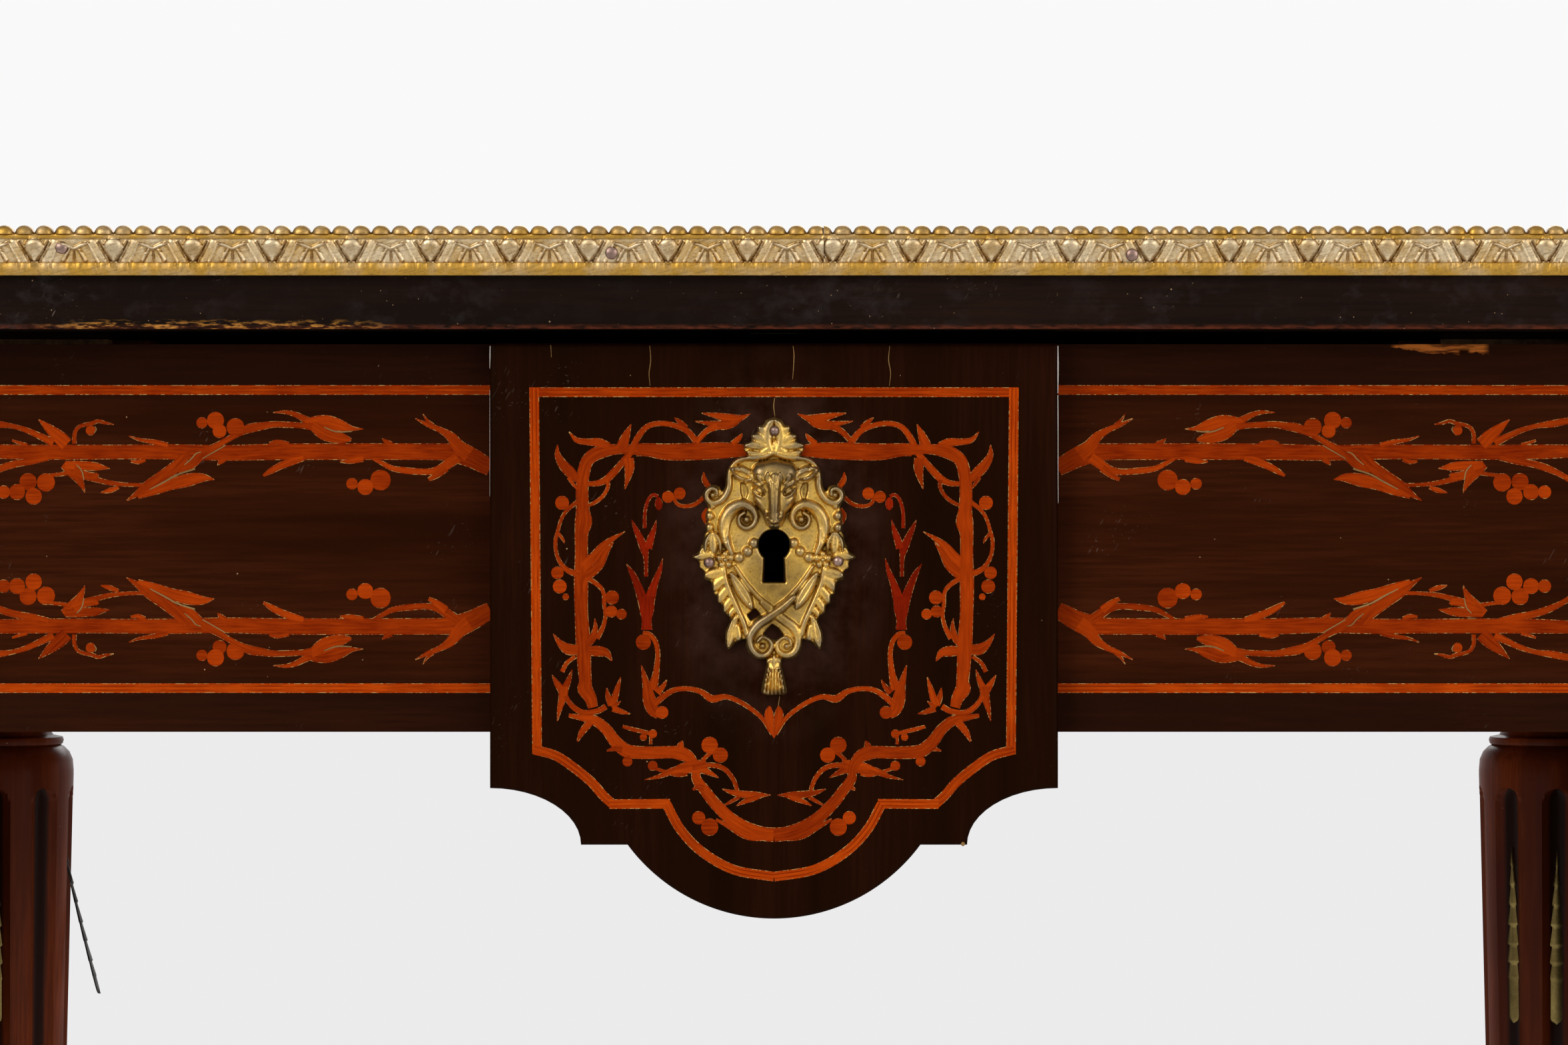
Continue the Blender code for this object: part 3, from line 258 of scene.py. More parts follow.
def veneer_colour(tree, grain, dark=BROWN, warm=BROWN_WARM, scratched=0.4):
    """Colour, height and roughness of old veneer: figure and clouds times fibres, scratches and specks."""
    along = place_in(tree, GRAIN[grain])
    figure = noise(tree, along, FIGURE, 4.0, 0.6)
    fibre = noise(tree, along, FIBRES, 2.0)
    clouds = noise(tree, place_in(tree), CLOUDS, 2.0)
    share = plus(tree, mapped(tree, figure, 0.38, 0.75, 0, 0.65), mapped(tree, clouds, 0.45, 0.75, 0, 0.4))
    share = times(tree, share, mapped(tree, fibre, 0.3, 0.65, 0.35, 1.0))
    colour = between(tree, share, dark, warm)
    hairs = sums(tree, "MAXIMUM", *(scratch_share(tree, *lines) for lines in HAIRLINES))
    colour = between(tree, times(tree, hairs, scratched), colour, SCRATCH)
    colour = between(tree, times(tree, speck_share(tree, *SPECKS), 0.7), colour, SPECK)
    height = sums(tree, "SUBTRACT", mapped(tree, fibre, 0.3, 0.7, 0, 0.35), hairs)
    return colour, height, mapped(tree, clouds, 0.35, 0.7, *POLISH)


def veneer_finish(name, grain, scratched=0.4, dark=BROWN, warm=BROWN_WARM, gloss=DULL):
    """Plain veneer with its grain along one axis."""
    made, tree, shader = finish(name, specular=gloss)
    colour, height, roughness = veneer_colour(tree, grain, dark, warm, scratched)
    connect(tree, shader, colour, roughness, height, *GRAIN_BUMP)
    return made


frieze_veneer = veneer_finish("frieze_veneer", "X")
leaf_veneer = veneer_finish("leaf_veneer", "Z", 0.3, EBONY, EBONY_WARM, WAXED)
end_veneer = veneer_finish("end_veneer", "Y", 0.3, gloss=WAXED)
rosewood = veneer_finish("polished_rosewood", "Z", 0.2, ROSEWOOD, ROSEWOOD_WARM, BRIGHT)
print("veneers:", frieze_veneer.name, leaf_veneer.name, end_veneer.name, rosewood.name)

# %% [markdown]
# The legs are rosewood too, but the flutes turn black towards their floors. Each point of a leg carries a
# mark of how deep it lies in its flute, and the black follows that mark.
# %% Rosewood with black flutes
def leg_finish():
    """Rosewood that turns black where the hollow mark passes from two thirds to five sixths."""
    made, tree, shader = finish("fluted_rosewood", specular=BRIGHT)
    colour, height, roughness = veneer_colour(tree, "Z", ROSEWOOD, ROSEWOOD_WARM, 0.2)
    # Black by depth in each flute: the deeper a point lies, the blacker it is.
    flute_black = mapped(tree, mark(tree, "hollow"), 0.62, 0.84, 0, 0.9)
    connect(tree, shader, between(tree, flute_black, colour, EBONY), roughness, height, *GRAIN_BUMP)
    return made


fluted_rosewood = leg_finish()
print("legs:", fluted_rosewood.name)

# %% [markdown]
# Three faces carry the marks of use, and all of these follow from where a point lies. First the top: the
# lower arris of its front is rubbed red, and at the left down to bare wood. Its edge is smeared by hands
# and dusty.
# %% Worn edge of the top
TOP_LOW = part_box("strike_plate")[0].z
TOP_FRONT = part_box("top")[0].y
RUBBED_RED, BARE_WOOD, SCUFF_GREY = paint(84, 38, 22), paint(156, 104, 44), paint(66, 60, 60)
RUBBED_SPAN = (-0.222, -0.112)
SCUFF_SPAN = (-0.236, -0.196)
# Marks fade out between these depths behind the front and these heights above the lower arris.
FRONT_SKIN = (0.003, 0.001)
RED_HEIGHTS, BARE_HEIGHTS = (0.0016, 0.0004), (0.0030, 0.0008)
DUST = (520.0, 0.12, 0.8)


def axes(tree):
    """The three Object coordinates as separate numbers."""
    return node(tree, "SeparateXYZ", {0: place_in(tree)}).outputs


def fade(tree, value, origin, limits):
    """Nothing at the first limit from an origin and one at the second."""
    return mapped(tree, value, origin + limits[0], origin + limits[1])


def window(tree, value, span, soft):
    """One inside a span and nothing outside it, with soft ends."""
    rise = mapped(tree, value, span[0], span[0] + soft)
    return times(tree, rise, mapped(tree, value, span[1], span[1] - soft))


def top_finish():
    """Ebony with a red arris, bare wood along one span of it, grey smears and dust."""
    made, tree, shader = finish("top_veneer", specular=WAXED)
    colour, height, roughness = veneer_colour(tree, "X", EBONY, EBONY_WARM, 0.6)
    x, y, z = axes(tree)
    front = fade(tree, y, TOP_FRONT, FRONT_SKIN)
    ragged = noise(tree, place_in(tree, (0.22, 1, 1)), 1100, 4.0, 0.6)
    red = times(tree, front, fade(tree, z, TOP_LOW, RED_HEIGHTS))
    red = times(tree, red, mapped(tree, ragged, 0.35, 0.65, 0.0, 0.8))
    colour = between(tree, red, colour, RUBBED_RED)
    bare = times(tree, front, fade(tree, z, TOP_LOW, BARE_HEIGHTS))
    bare = times(tree, bare, window(tree, x, RUBBED_SPAN, 0.02))
    colour = between(tree, times(tree, bare, mapped(tree, ragged, 0.5, 0.62)), colour, BARE_WOOD)
    smear = noise(tree, place_in(tree, (0.7, 1, 1)), 150, 5.0, 0.65)
    handled = mapped(tree, noise(tree, place_in(tree), 14, 1.0), 0.45, 0.65, 0.15, 0.8)
    handled = sums(tree, "MAXIMUM", handled, window(tree, x, SCUFF_SPAN, 0.006))
    scuffs = times(tree, handled, mapped(tree, smear, 0.5, 0.75, 0, 0.26))
    colour = between(tree, times(tree, scuffs, front), colour, SCUFF_GREY)
    dust = times(tree, speck_share(tree, *DUST), times(tree, handled, front))
    colour = between(tree, times(tree, dust, 0.6), colour, SPECK)
    connect(tree, shader, colour, roughness, height, *GRAIN_BUMP)
    return made


top_veneer = top_finish()
print("top:", top_veneer.name, "is rubbed from", *RUBBED_SPAN)

# %% [markdown]
# The drawer front has painted shade along its upper and lower edges, and it has lost a sliver of veneer at
# its upper edge. There the splintered orange wood underneath shows, with a dark hole in it: a painted
# shadow of a deeper notch. The chip reaches only a few millimetres behind the face, so that the top of the
# open drawer stays whole.
# %% Worn drawer front
DRAWER_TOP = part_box("drawer_front")[1].z
FRIEZE_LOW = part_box("drawer_front")[0].z
FRIEZE_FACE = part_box("drawer_front")[0].y
# Painted shade: colour and reach of the darkening along the upper and lower edges of the drawer front.
EDGE_SHADE, EDGE_SHADE_REACH = paint(20, 9, 5), 0.019
CHIP_WOOD, CHIP_DARK = paint(158, 88, 34), paint(70, 32, 12)
CHIP_SPAN, CHIP_DROP, CHIP_SKIN = (0.186, 0.216), 0.0050, (0.0050, 0.0035)
# Painted shadow: span and heights of the dark patch that stands for the shade in the chip's deeper notch.
NOTCH_SHADOW_SPAN, NOTCH_SHADOW_HEIGHTS = (0.2062, 0.2104), (-0.0008, -0.0020)


def chip_share(tree, x, y, z):
    """One where the veneer is gone: above a ragged line that drops lower towards its right end."""
    ragged = mapped(tree, noise(tree, place_in(tree), 130, 4.0), 0.25, 0.65, 0.2, 1.0)
    depth = times(tree, ragged, mapped(tree, x, *CHIP_SPAN, CHIP_DROP / 2, CHIP_DROP))
    gone = mapped(tree, plus(tree, z, depth), DRAWER_TOP, DRAWER_TOP + 0.0003)
    gone = times(tree, gone, window(tree, x, CHIP_SPAN, 0.002))
    return times(tree, gone, fade(tree, y, FRIEZE_FACE, CHIP_SKIN))


def drawer_front_finish():
    """Brown veneer with painted shade towards both edges, and the chip with its splinters and a painted
    shadow in its notch.
    """
    made, tree, shader = finish("drawer_front_veneer", specular=DULL)
    colour, height, roughness = veneer_colour(tree, "X", scratched=0.5)
    x, y, z = axes(tree)
    # Painted shade towards the upper and lower edges.
    edges = sums(tree, "MAXIMUM", mapped(tree, z, DRAWER_TOP - EDGE_SHADE_REACH, DRAWER_TOP),
                 mapped(tree, z, FRIEZE_LOW + EDGE_SHADE_REACH, FRIEZE_LOW))
    colour = between(tree, mapped(tree, edges, 0.0, 0.4, 0.0, 0.55), colour, EDGE_SHADE)
    gone = chip_share(tree, x, y, z)
    splinters = noise(tree, place_in(tree, (0.1, 1, 1)), 1500, 3.0)
    wood = between(tree, mapped(tree, splinters, 0.4, 0.62), CHIP_WOOD, CHIP_DARK)
    # Painted shadow of the deeper notch in the chip.
    hole = times(tree, window(tree, x, NOTCH_SHADOW_SPAN, 0.001), fade(tree, z, DRAWER_TOP, NOTCH_SHADOW_HEIGHTS))
    colour = between(tree, gone, colour, between(tree, hole, wood, BROWN))
    connect(tree, shader, colour, roughness, sums(tree, "SUBTRACT", height, gone), 0.00004, 0.4)
    return made


drawer_front_veneer = drawer_front_finish()
print("drawer front:", drawer_front_veneer.name, "is chipped from", *CHIP_SPAN)

# %% [markdown]
# On the plaque old wax has left a grey bloom round the escutcheon, where a cloth can't reach. It is
# cloudy inside an upright oval round the keyhole.
# %% Plaque with old wax
KEY_HEIGHT = DRAWER_TOP - 0.0606
PLAQUE_DARK, PLAQUE_WARM = paint(19, 6, 1), paint(38, 14, 5)
WAX_BLOOM = paint(72, 48, 40)
BLOOM_REACH = (0.030, 0.050)


def plaque_finish():
    """Dark veneer with upright grain, and wax by the square of the distance from the keyhole in an oval."""
    made, tree, shader = finish("plaque_veneer", specular=DULL)
    colour, height, roughness = veneer_colour(tree, "Z", PLAQUE_DARK, PLAQUE_WARM, 0.3)
    x, y, z = axes(tree)
    across = sums(tree, "DIVIDE", x, BLOOM_REACH[0])
    up = sums(tree, "DIVIDE", sums(tree, "SUBTRACT", z, KEY_HEIGHT), BLOOM_REACH[1])
    off = plus(tree, times(tree, across, across), times(tree, up, up))
    cloud = mapped(tree, noise(tree, place_in(tree), 75, 4.0, 0.65), 0.38, 0.7, 0.0, 0.36)
    bloom = times(tree, mapped(tree, off, 1.5, 0.4), cloud)
    connect(tree, shader, between(tree, bloom, colour, WAX_BLOOM), roughness, height, *GRAIN_BUMP)
    return made


plaque_veneer = plaque_finish()
print("plaque:", plaque_veneer.name)

# %% [markdown]
# Inlay is sawn from orange and red woods, so its fibres run along each branch. Every inlaid shape carries
# four marks: how far a point is from the edge of the whole spray, how far along and across its own
# branch, and the shade of its piece of wood. The edge mark draws the pale, broken line of filler round
# the sawn edge.
# %% Inlay
FILLER = paint(170, 136, 80)
HAIR_OFF, HAIR_REACH = 0.0006, (0.00025, 0.00008)
RIM_REACH, FILLER_REACH = (0.00055, 0.0002), (0.00021, 0.00012)


def lines_in(tree):
    """Two dark hairlines that run along a strip, near both its edges, here and there."""
    from_middle = sums(tree, "ABSOLUTE", mark(tree, "across"))
    off = sums(tree, "ABSOLUTE", sums(tree, "SUBTRACT", from_middle, HAIR_OFF))
    here = mapped(tree, noise(tree, place_in(tree), 60, 3.0), 0.4, 0.6)
    return times(tree, mapped(tree, off, *HAIR_REACH), here)


def filler_share(tree, edge, filler):
    """A broken line along the edge of the spray."""
    broken = mapped(tree, noise(tree, place_in(tree), 900, 3.0, 0.7), 0.48, 0.58)
    patches = mapped(tree, noise(tree, place_in(tree), 110, 2.0), 0.36, 0.6, 0.25, 1.0)
    broken = times(tree, broken, patches)
    return times(tree, mapped(tree, edge, *FILLER_REACH, 0, filler), broken)


def inlay_finish(name, deep, pale, filler=0.85, lined=0.0):
    """Two tones of one wood mixed by fibre, figure and shade, a dark rim, and filler round the edge."""
    made, tree, shader = finish(name, roughness=0.34, specular=DULL)
    marks = {0: mark(tree, "run"), 1: mark(tree, "across"), 2: mark(tree, "shade")}
    run = node(tree, "CombineXYZ", marks).outputs[0]
    long_fibre = node(tree, "Mapping", {"Vector": run, "Scale": (0.08, 1, 30)}).outputs[0]
    fibre = noise(tree, long_fibre, 1500, 3.0)
    figure = noise(tree, place_in(tree), 70, 2.0)
    share = plus(tree, mapped(tree, fibre, 0.3, 0.7, 0, 0.45), mapped(tree, figure, 0.35, 0.65, 0, 0.25))
    share = plus(tree, share, times(tree, mark(tree, "shade"), 0.4))
    colour = between(tree, share, deep, pale)
    colour = between(tree, times(tree, lines_in(tree), lined), colour, deep)
    edge = mark(tree, "edge")
    colour = between(tree, mapped(tree, edge, *RIM_REACH, 0, 0.4), colour, deep)
    colour = between(tree, filler_share(tree, edge, filler), colour, FILLER)
    connect(tree, shader, colour, None, fibre, 0.00002, 0.3)
    return made


orange_inlay = inlay_finish("orange_inlay", paint(86, 17, 1), paint(152, 52, 5))
red_inlay = inlay_finish("red_inlay", paint(72, 9, 1), paint(128, 27, 4), 0.6)
stringing_inlay = inlay_finish("stringing_inlay", paint(102, 23, 1), paint(168, 62, 6), 1.0, 0.9)
filler_line = inlay_finish("filler_line", paint(92, 66, 38), paint(150, 118, 72), 0.0)
# Pale lines on the plaque's arrises: a painted highlight, partly real rubbing.
rubbed_arris_highlight = inlay_finish("rubbed_arris_highlight", paint(104, 94, 86), paint(206, 200, 196), 0.0)
print("inlay woods:", orange_inlay.name, red_inlay.name, stringing_inlay.name)
print("lines:", filler_line.name, rubbed_arris_highlight.name)

# %% [markdown]
# Gilt bronze keeps its yellow in the hollows, where no cloth reaches, and is rubbed to a grey tan on the
# high points. Two marks on the cast pieces say how high a point stands over its surroundings and how deep
# it lies.
# %% Cast metals
def cast_finish(name, gold, worn, dark, roughness, filing):
    """Gold turned to its worn colour by the worn mark, and darkened by the deep mark, grain and filing."""
    made, tree, shader = finish(name, metallic=1.0)
    tarnish = noise(tree, place_in(tree), 260, 4.0)
    blotches = noise(tree, place_in(tree), 90, 3.0)
    share = plus(tree, mark(tree, "worn"), mapped(tree, blotches, 0.35, 0.65, -0.35, 0.35))
    colour = between(tree, share, gold, worn)
    grime = times(tree, mark(tree, "deep"), mapped(tree, tarnish, 0.35, 0.6, 0.5, 1.0))
    colour = between(tree, grime, colour, dark)
    grain = noise(tree, place_in(tree), 1500, 3.0, 0.7)
    colour = between(tree, mapped(tree, grain, 0.5, 0.7, 0, 0.5), colour, dark)
    filed = noise(tree, place_in(tree, (0.06, 1, 1), (0, 0.25, 0)), 1700, 2.0)
    colour = between(tree, mapped(tree, filed, 0.5, 0.75, 0, filing), colour, dark)
    height = plus(tree, plus(tree, tarnish, grain), times(tree, filed, filing))
    connect(tree, shader, colour, mapped(tree, tarnish, 0.3, 0.7, *roughness), height, 0.00006, 0.35)
    return made


GILT = paint(206, 164, 78), paint(136, 116, 82), paint(78, 56, 26)
CHASED = paint(178, 136, 56), paint(200, 180, 146), paint(94, 70, 38)
gilt_bronze = cast_finish("gilt_bronze", *GILT, (0.3, 0.48), 0.12)
chased_brass = cast_finish("chased_brass", *CHASED, (0.36, 0.54), 0.45)
print("cast metals:", gilt_bronze.name, chased_brass.name)

# %% [markdown]
# Plain brass, steel and iron need only a cloudy tarnish and fine brushed lines.
# %% Plain metals
def plain_metal_finish(name, bright, dull, roughness):
    """Two tones of one metal mixed by clouds and brushed lines."""
    made, tree, shader = finish(name, metallic=1.0)
    cloud = noise(tree, place_in(tree), 85, 4.0)
    brushed = noise(tree, place_in(tree, (1, 0.05, 1)), 1600, 2.0)
    share = plus(tree, mapped(tree, cloud, 0.35, 0.65, 0, 0.7), mapped(tree, brushed, 0.4, 0.7, 0, 0.3))
    colour = between(tree, share, bright, dull)
    connect(tree, shader, colour, mapped(tree, cloud, 0.3, 0.7, *roughness), brushed, 0.00002, 0.2)
    return made


old_brass = plain_metal_finish("old_brass", paint(184, 142, 74), paint(120, 86, 42), (0.3, 0.5))
lock_steel = plain_metal_finish("lock_steel", paint(150, 146, 140), paint(92, 84, 76), (0.35, 0.55))
iron_nail = plain_metal_finish("iron_nail", paint(150, 124, 112), paint(92, 70, 62), (0.3, 0.45))
candle_brass = plain_metal_finish("candle_brass", paint(138, 120, 72), paint(92, 78, 44), (0.36, 0.55))
# Dark metal: real tarnish on the loose chandelle, and painted shade on the strike plate in the gap under the
# top.
tarnished_and_shaded_strip = plain_metal_finish("tarnished_and_shaded_strip", paint(70, 66, 64), paint(34, 30, 28), (0.3, 0.5))
print("plain metals:", old_brass.name, lock_steel.name, iron_nail.name)
print("metals of the chandelles:", candle_brass.name, tarnished_and_shaded_strip.name)

# %% [markdown]
# The drawer is lined with oak, whose rays and dark pores run front to back. Behind the keyhole sits the
# brass lock, which is painted black round the keyhole as shade inside the lock, so the keyhole looks dark
# and deep.
# %% Drawer lining and lock
KEY_SHADE = 0.024
LOCK_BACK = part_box("lock_case")[1].y
KEY_SHADE_SKIN = (-0.0004, -0.0008)


def oak_finish():
    """Pale rays over brown oak, then dark pores."""
    made, tree, shader = finish("drawer_lining_oak", roughness=0.62, specular=0.3)
    along = place_in(tree, (1, 0.05, 1))
    rays = noise(tree, along, 260, 4.0)
    pores = noise(tree, along, 1300, 2.0)
    colour = between(tree, mapped(tree, rays, 0.35, 0.65), paint(116, 78, 46), paint(164, 120, 76))
    colour = between(tree, mapped(tree, pores, 0.6, 0.72, 0, 0.6), colour, paint(70, 45, 26))
    connect(tree, shader, colour, None, pores, 0.00006, 0.4)
    return made


def lock_finish():
    """Clouded brass, with painted shade: black by the square of the distance from the keyhole, but not on the
    case's back.
    """
    made, tree, shader = finish("lock_brass", metallic=1.0)
    x, y, z = axes(tree)
    up = sums(tree, "SUBTRACT", z, KEY_HEIGHT)
    off = plus(tree, sums(tree, "POWER", x, 2.0), sums(tree, "POWER", up, 2.0))
    near_key = mapped(tree, off, KEY_SHADE**2, (0.7 * KEY_SHADE) ** 2)
    # Painted shade: black round the keyhole, so that the keyhole looks dark and deep.
    black = times(tree, near_key, fade(tree, y, LOCK_BACK, KEY_SHADE_SKIN))
    cloud = noise(tree, place_in(tree), 85, 4.0)
    colour = between(tree, mapped(tree, cloud, 0.35, 0.65), paint(170, 130, 68), paint(112, 80, 40))
    colour = between(tree, black, colour, paint(4, 3, 3))
    connect(tree, shader, colour, mapped(tree, cloud, 0.3, 0.7, 0.4, 0.6), cloud, 0.00003, 0.2)
    return made


lining_oak = oak_finish()
lock_brass = lock_finish()
print("inside the drawer:", lining_oak.name, lock_brass.name)

# %% [markdown]
# The flat and square pieces of the model keep their own shapes. Each gets the finish of its wood or
# metal. The names are matched by how they start, and a later line wins over an earlier one, as for the
# guides of the lopers.
# %% Finishes on the model's own pieces
NODE_FINISHES = {
    top_veneer: ("top",),
    drawer_front_veneer: ("drawer_front",),
    leaf_veneer: ("leaf_left", "leaf_right"),
    end_veneer: ("end_apron_left", "end_apron_right"),
    frieze_veneer: ("rear_apron", "front_rail"),
    rosewood: ("loper_",),
    lining_oak: ("drawer_side_", "drawer_back", "drawer_bottom", "drawer_runner_", "drawer_guide_",
                 "loper_guide_"),
    old_brass: ("hinge_",),
    tarnished_and_shaded_strip: ("strike_plate",),
    # Painted shade: the brass strike plate gets the dark strip, so that it stays dark in the gap under the
    # top.
    lock_brass: ("lock_case",),
    lock_steel: ("lock_bolt",),
}
for material, starts in NODE_FINISHES.items():
    for name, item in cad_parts.items():
        if name.startswith(starts):
            item.data.materials.clear()
            item.data.materials.append(material)
print("finished", len(NODE_FINISHES), "groups of nodes")

# %% [markdown]
# Relief and inlay are both drawn with strokes: curves with a width. Only a few rows of a stroke are set
# down, and a smooth curve is laid through them. In relief the metal swells over a stroke as half an
# ellipse does: nothing at its edge, its full rise over the middle. Where strokes cross, the higher wins.
# %% Strokes
def smooth_path(rows, step, least=3):
    """A curve through control rows, cubic between neighbours, read about every step, or least times."""
    rows = np.asarray(rows, float)
    whole = np.vstack([2 * rows[0] - rows[1], rows, 2 * rows[-1] - rows[-2]])
    run = np.concatenate([[0], np.cumsum(np.linalg.norm(np.diff(rows[:, :2], axis=0), axis=1))])
    count = max(least, int(run[-1] / step) + 1)
    at = np.interp(np.linspace(0, run[-1], count), run, np.arange(len(rows)))
    i = np.minimum(at.astype(int), len(rows) - 2)
    f = (at - i)[:, None]
    a, b, c, d = whole[i], whole[i + 1], whole[i + 2], whole[i + 3]
    return 0.5 * (2 * b + (c - a) * f + (2 * a - 5 * b + 4 * c - d) * f**2 + (3 * b - 3 * c + d - a) * f**3)


def relief(x, z, strokes, step):
    """Rise over a grid of places: the greatest of rise x root(1 - (distance / half width) squared)."""
    high = np.zeros(x.shape)
    for rise, rows in strokes:
        path = smooth_path(rows, step)
        half = np.maximum(path[:, 2] / 2, 1e-6)
        near = (x > (path[:, 0] - half).min()) & (x < (path[:, 0] + half).max())
        near &= (z > (path[:, 1] - half).min()) & (z < (path[:, 1] + half).max())
        off = np.hypot(x[near][:, None] - path[:, 0], z[near][:, None] - path[:, 1]) / half
        swell = rise * np.sqrt(np.maximum(0, 1 - off**2)).max(axis=1, initial=0)
        high[near] = np.maximum(high[near], swell)
    return high


def blurred(field, reach, wrap=False):
    """A running mean along both directions of a grid."""
    for axis in (0, 1):
        pad = [(reach, reach) if a == axis else (0, 0) for a in (0, 1)]
        wide = np.pad(field, pad, mode="wrap" if wrap and axis == 0 else "edge")
        total = np.cumsum(wide, axis=axis)
        zero = np.zeros_like(np.take(total, [0], axis=axis))
        total = np.concatenate([zero, total], axis=axis)
        count = field.shape[axis]
        ahead = np.take(total, np.arange(2 * reach + 1, 2 * reach + 1 + count), axis=axis)
        field = (ahead - np.take(total, np.arange(count), axis=axis)) / (2 * reach + 1)
    return field


print("a straight stroke of 10 mm is read at", len(smooth_path([(0, 0, 1), (10, 0, 1)], 0.5)), "places")

# %% [markdown]
# The moulding round the top is a brass strip, pressed between rollers and nailed on: a plain fillet
# below, a band of darts with a palmette between each pair, a narrow fillet, and a row of half-round beads
# that stands against the light. One repeat of the band is worked out and then laid along each length.
# %% Section and strokes of the moulding
REPEAT = 23.6
BEAD_PITCH = REPEAT / 4
BEAD_GAP = 0.16
BEAD_BACK, BEAD_SWELL = 3.0, 2.1
BEAD_LOW, BRASS_HIGH = 12.3, 14.9
BAND_LOW, BAND_HIGH = 3.8, 10.8
BAND_BACK, BAND_LEAN = 1.9, 1.7
BAND_POINTS, BEAD_POINTS = 27, 9
# Strokes of one repeat as rise and rows of along, height above the band's foot, width, in millimetres.
DART = (1.7, ((0, 4.5, 5.9), (0, 3.7, 5.0), (0, 2.4, 3.2), (0, 1.1, 1.6), (0, 0.2, 0.6)))
HALF_REPEAT_STROKES = (
    (0.90, ((0.0, 0.1, 1.0), (0.7, 0.15, 0.8))),
    (0.80, ((4.0, 6.5, 0.5), (2.5, 3.9, 0.55), (0.8, 0.9, 0.5))),
    (0.60, ((4.8, 6.3, 0.45), (3.2, 3.4, 0.5), (1.4, 0.4, 0.45))),
    (0.40, ((6.2, 5.9, 1.8), (4.7, 3.0, 2.2), (3.2, 0.5, 2.0))),
    (0.70, ((7.5, 5.8, 0.6), (6.1, 3.0, 0.9), (4.7, 0.2, 1.0))),
    (1.00, ((7.5, 5.8, 0.6), (9.4, 5.2, 1.1), (11.0, 4.5, 1.1), (11.8, 4.2, 0.9))),
    (0.30, ((9.0, 4.3, 1.4), (7.6, 2.4, 2.6), (6.4, 0.8, 2.6))),
    (0.75, ((10.5, 3.9, 0.6), (9.4, 2.4, 1.0), (8.5, 0.7, 1.1))),
    (0.30, ((11.2, 3.0, 0.7), (10.6, 1.4, 1.5), (10.2, 0.4, 1.6))),
    (0.60, ((11.8, 4.1, 0.5), (11.8, 0.8, 0.6))),
)


def moulding_columns():
    """Depth and height of the plain section from back foot to back top, in millimetres."""
    swing = (1 - np.cos(np.pi * np.linspace(0, 1, BAND_POINTS))) / 2
    band = np.stack([BAND_BACK + BAND_LEAN * swing, np.linspace(BAND_LOW, BAND_HIGH, BAND_POINTS)], 1)
    bead = np.stack([np.full(BEAD_POINTS, BEAD_BACK), np.linspace(BEAD_LOW, BRASS_HIGH, BEAD_POINTS)], 1)
    fillet = [(0, 0), (2.9, 0), (3.1, 0.2), (3.1, 1.9), (3.1, 3.6), (2.9, BAND_LOW)]
    neck = [(3.9, BAND_HIGH), (4.1, 11.0), (4.2, 11.7), (4.0, 12.2)]
    return np.concatenate([fillet, band, neck, bead, [(0, BRASS_HIGH)]])


def both_halves(strokes):
    """Each stroke of the first half of a repeat and its mirror image in the second half."""
    turned = [(rise, [(REPEAT - s, z, width) for s, z, width in rows]) for rise, rows in strokes]
    return [one for pair in zip(strokes, turned) for one in pair]


print("columns across the moulding:", len(moulding_columns()))

# %% [markdown]
# A repeat is a field of depths over a grid. The strokes raise the band, and a dome raises each bead and
# also narrows it, so that the beads stand apart against the light. What stands over its surroundings is
# marked as worn, and what lies lower is marked as deep. The darts are marked as deep too, because they
# are browner.
# %% One repeat of the moulding
MOULDING_STEP = 0.3
BLUR_REACH = 4
DOME_POWER, DOME_LEAST = 2.2, 0.03
# Marks of the plain metal and of the beads.
FILLET_WORN, FILLET_DEEP = 0.1, 0.24
BEAD_WORN, BEAD_DEEP = 0.3, 0.95


def moulding_repeat(rows):
    """Depth and height on a grid of (along, column) for one repeat, and how worn and deep each point is."""
    plain = moulding_columns()
    s, height = np.meshgrid(np.arange(rows) * REPEAT / rows, plain[:, 1], indexing="ij")
    darts = both_halves([DART])
    rise = relief(s, height - BAND_LOW, darts + both_halves(HALF_REPEAT_STROKES), MOULDING_STEP)
    dart = relief(s, height - BAND_LOW, darts, MOULDING_STEP) / DART[0]
    lift = rise - blurred(rise, BLUR_REACH, wrap=True)
    across = (s % BEAD_PITCH - BEAD_PITCH / 2) / (BEAD_PITCH / 2 - BEAD_GAP)
    dome = np.sqrt(np.maximum(DOME_LEAST, 1 - np.abs(across) ** DOME_POWER))
    up = np.clip((height - BEAD_LOW) / (BRASS_HIGH - BEAD_LOW), 0, 1)
    swell = BEAD_SWELL * dome * np.sqrt(1 - up**2) * (plain[:, 0] > 1)
    on_bead = height >= BEAD_LOW
    banded = (height > BAND_LOW) & (height <= BAND_HIGH)
    worn = np.where(on_bead, BEAD_WORN, FILLET_WORN)
    worn = np.where(banded, np.clip(0.75 + 0.9 * lift, 0, 1), worn)
    deep = np.where(on_bead, BEAD_DEEP - 0.4 * dome, FILLET_DEEP)
    deep = np.where(banded, np.clip(0.5 * dart - 1.1 * lift, 0, 1), deep)
    depth = plain[:, 0] + np.where(on_bead, swell, rise)
    height = np.where(on_bead, BEAD_LOW + (height - BEAD_LOW) * dome, height)
    return depth, height, worn, deep


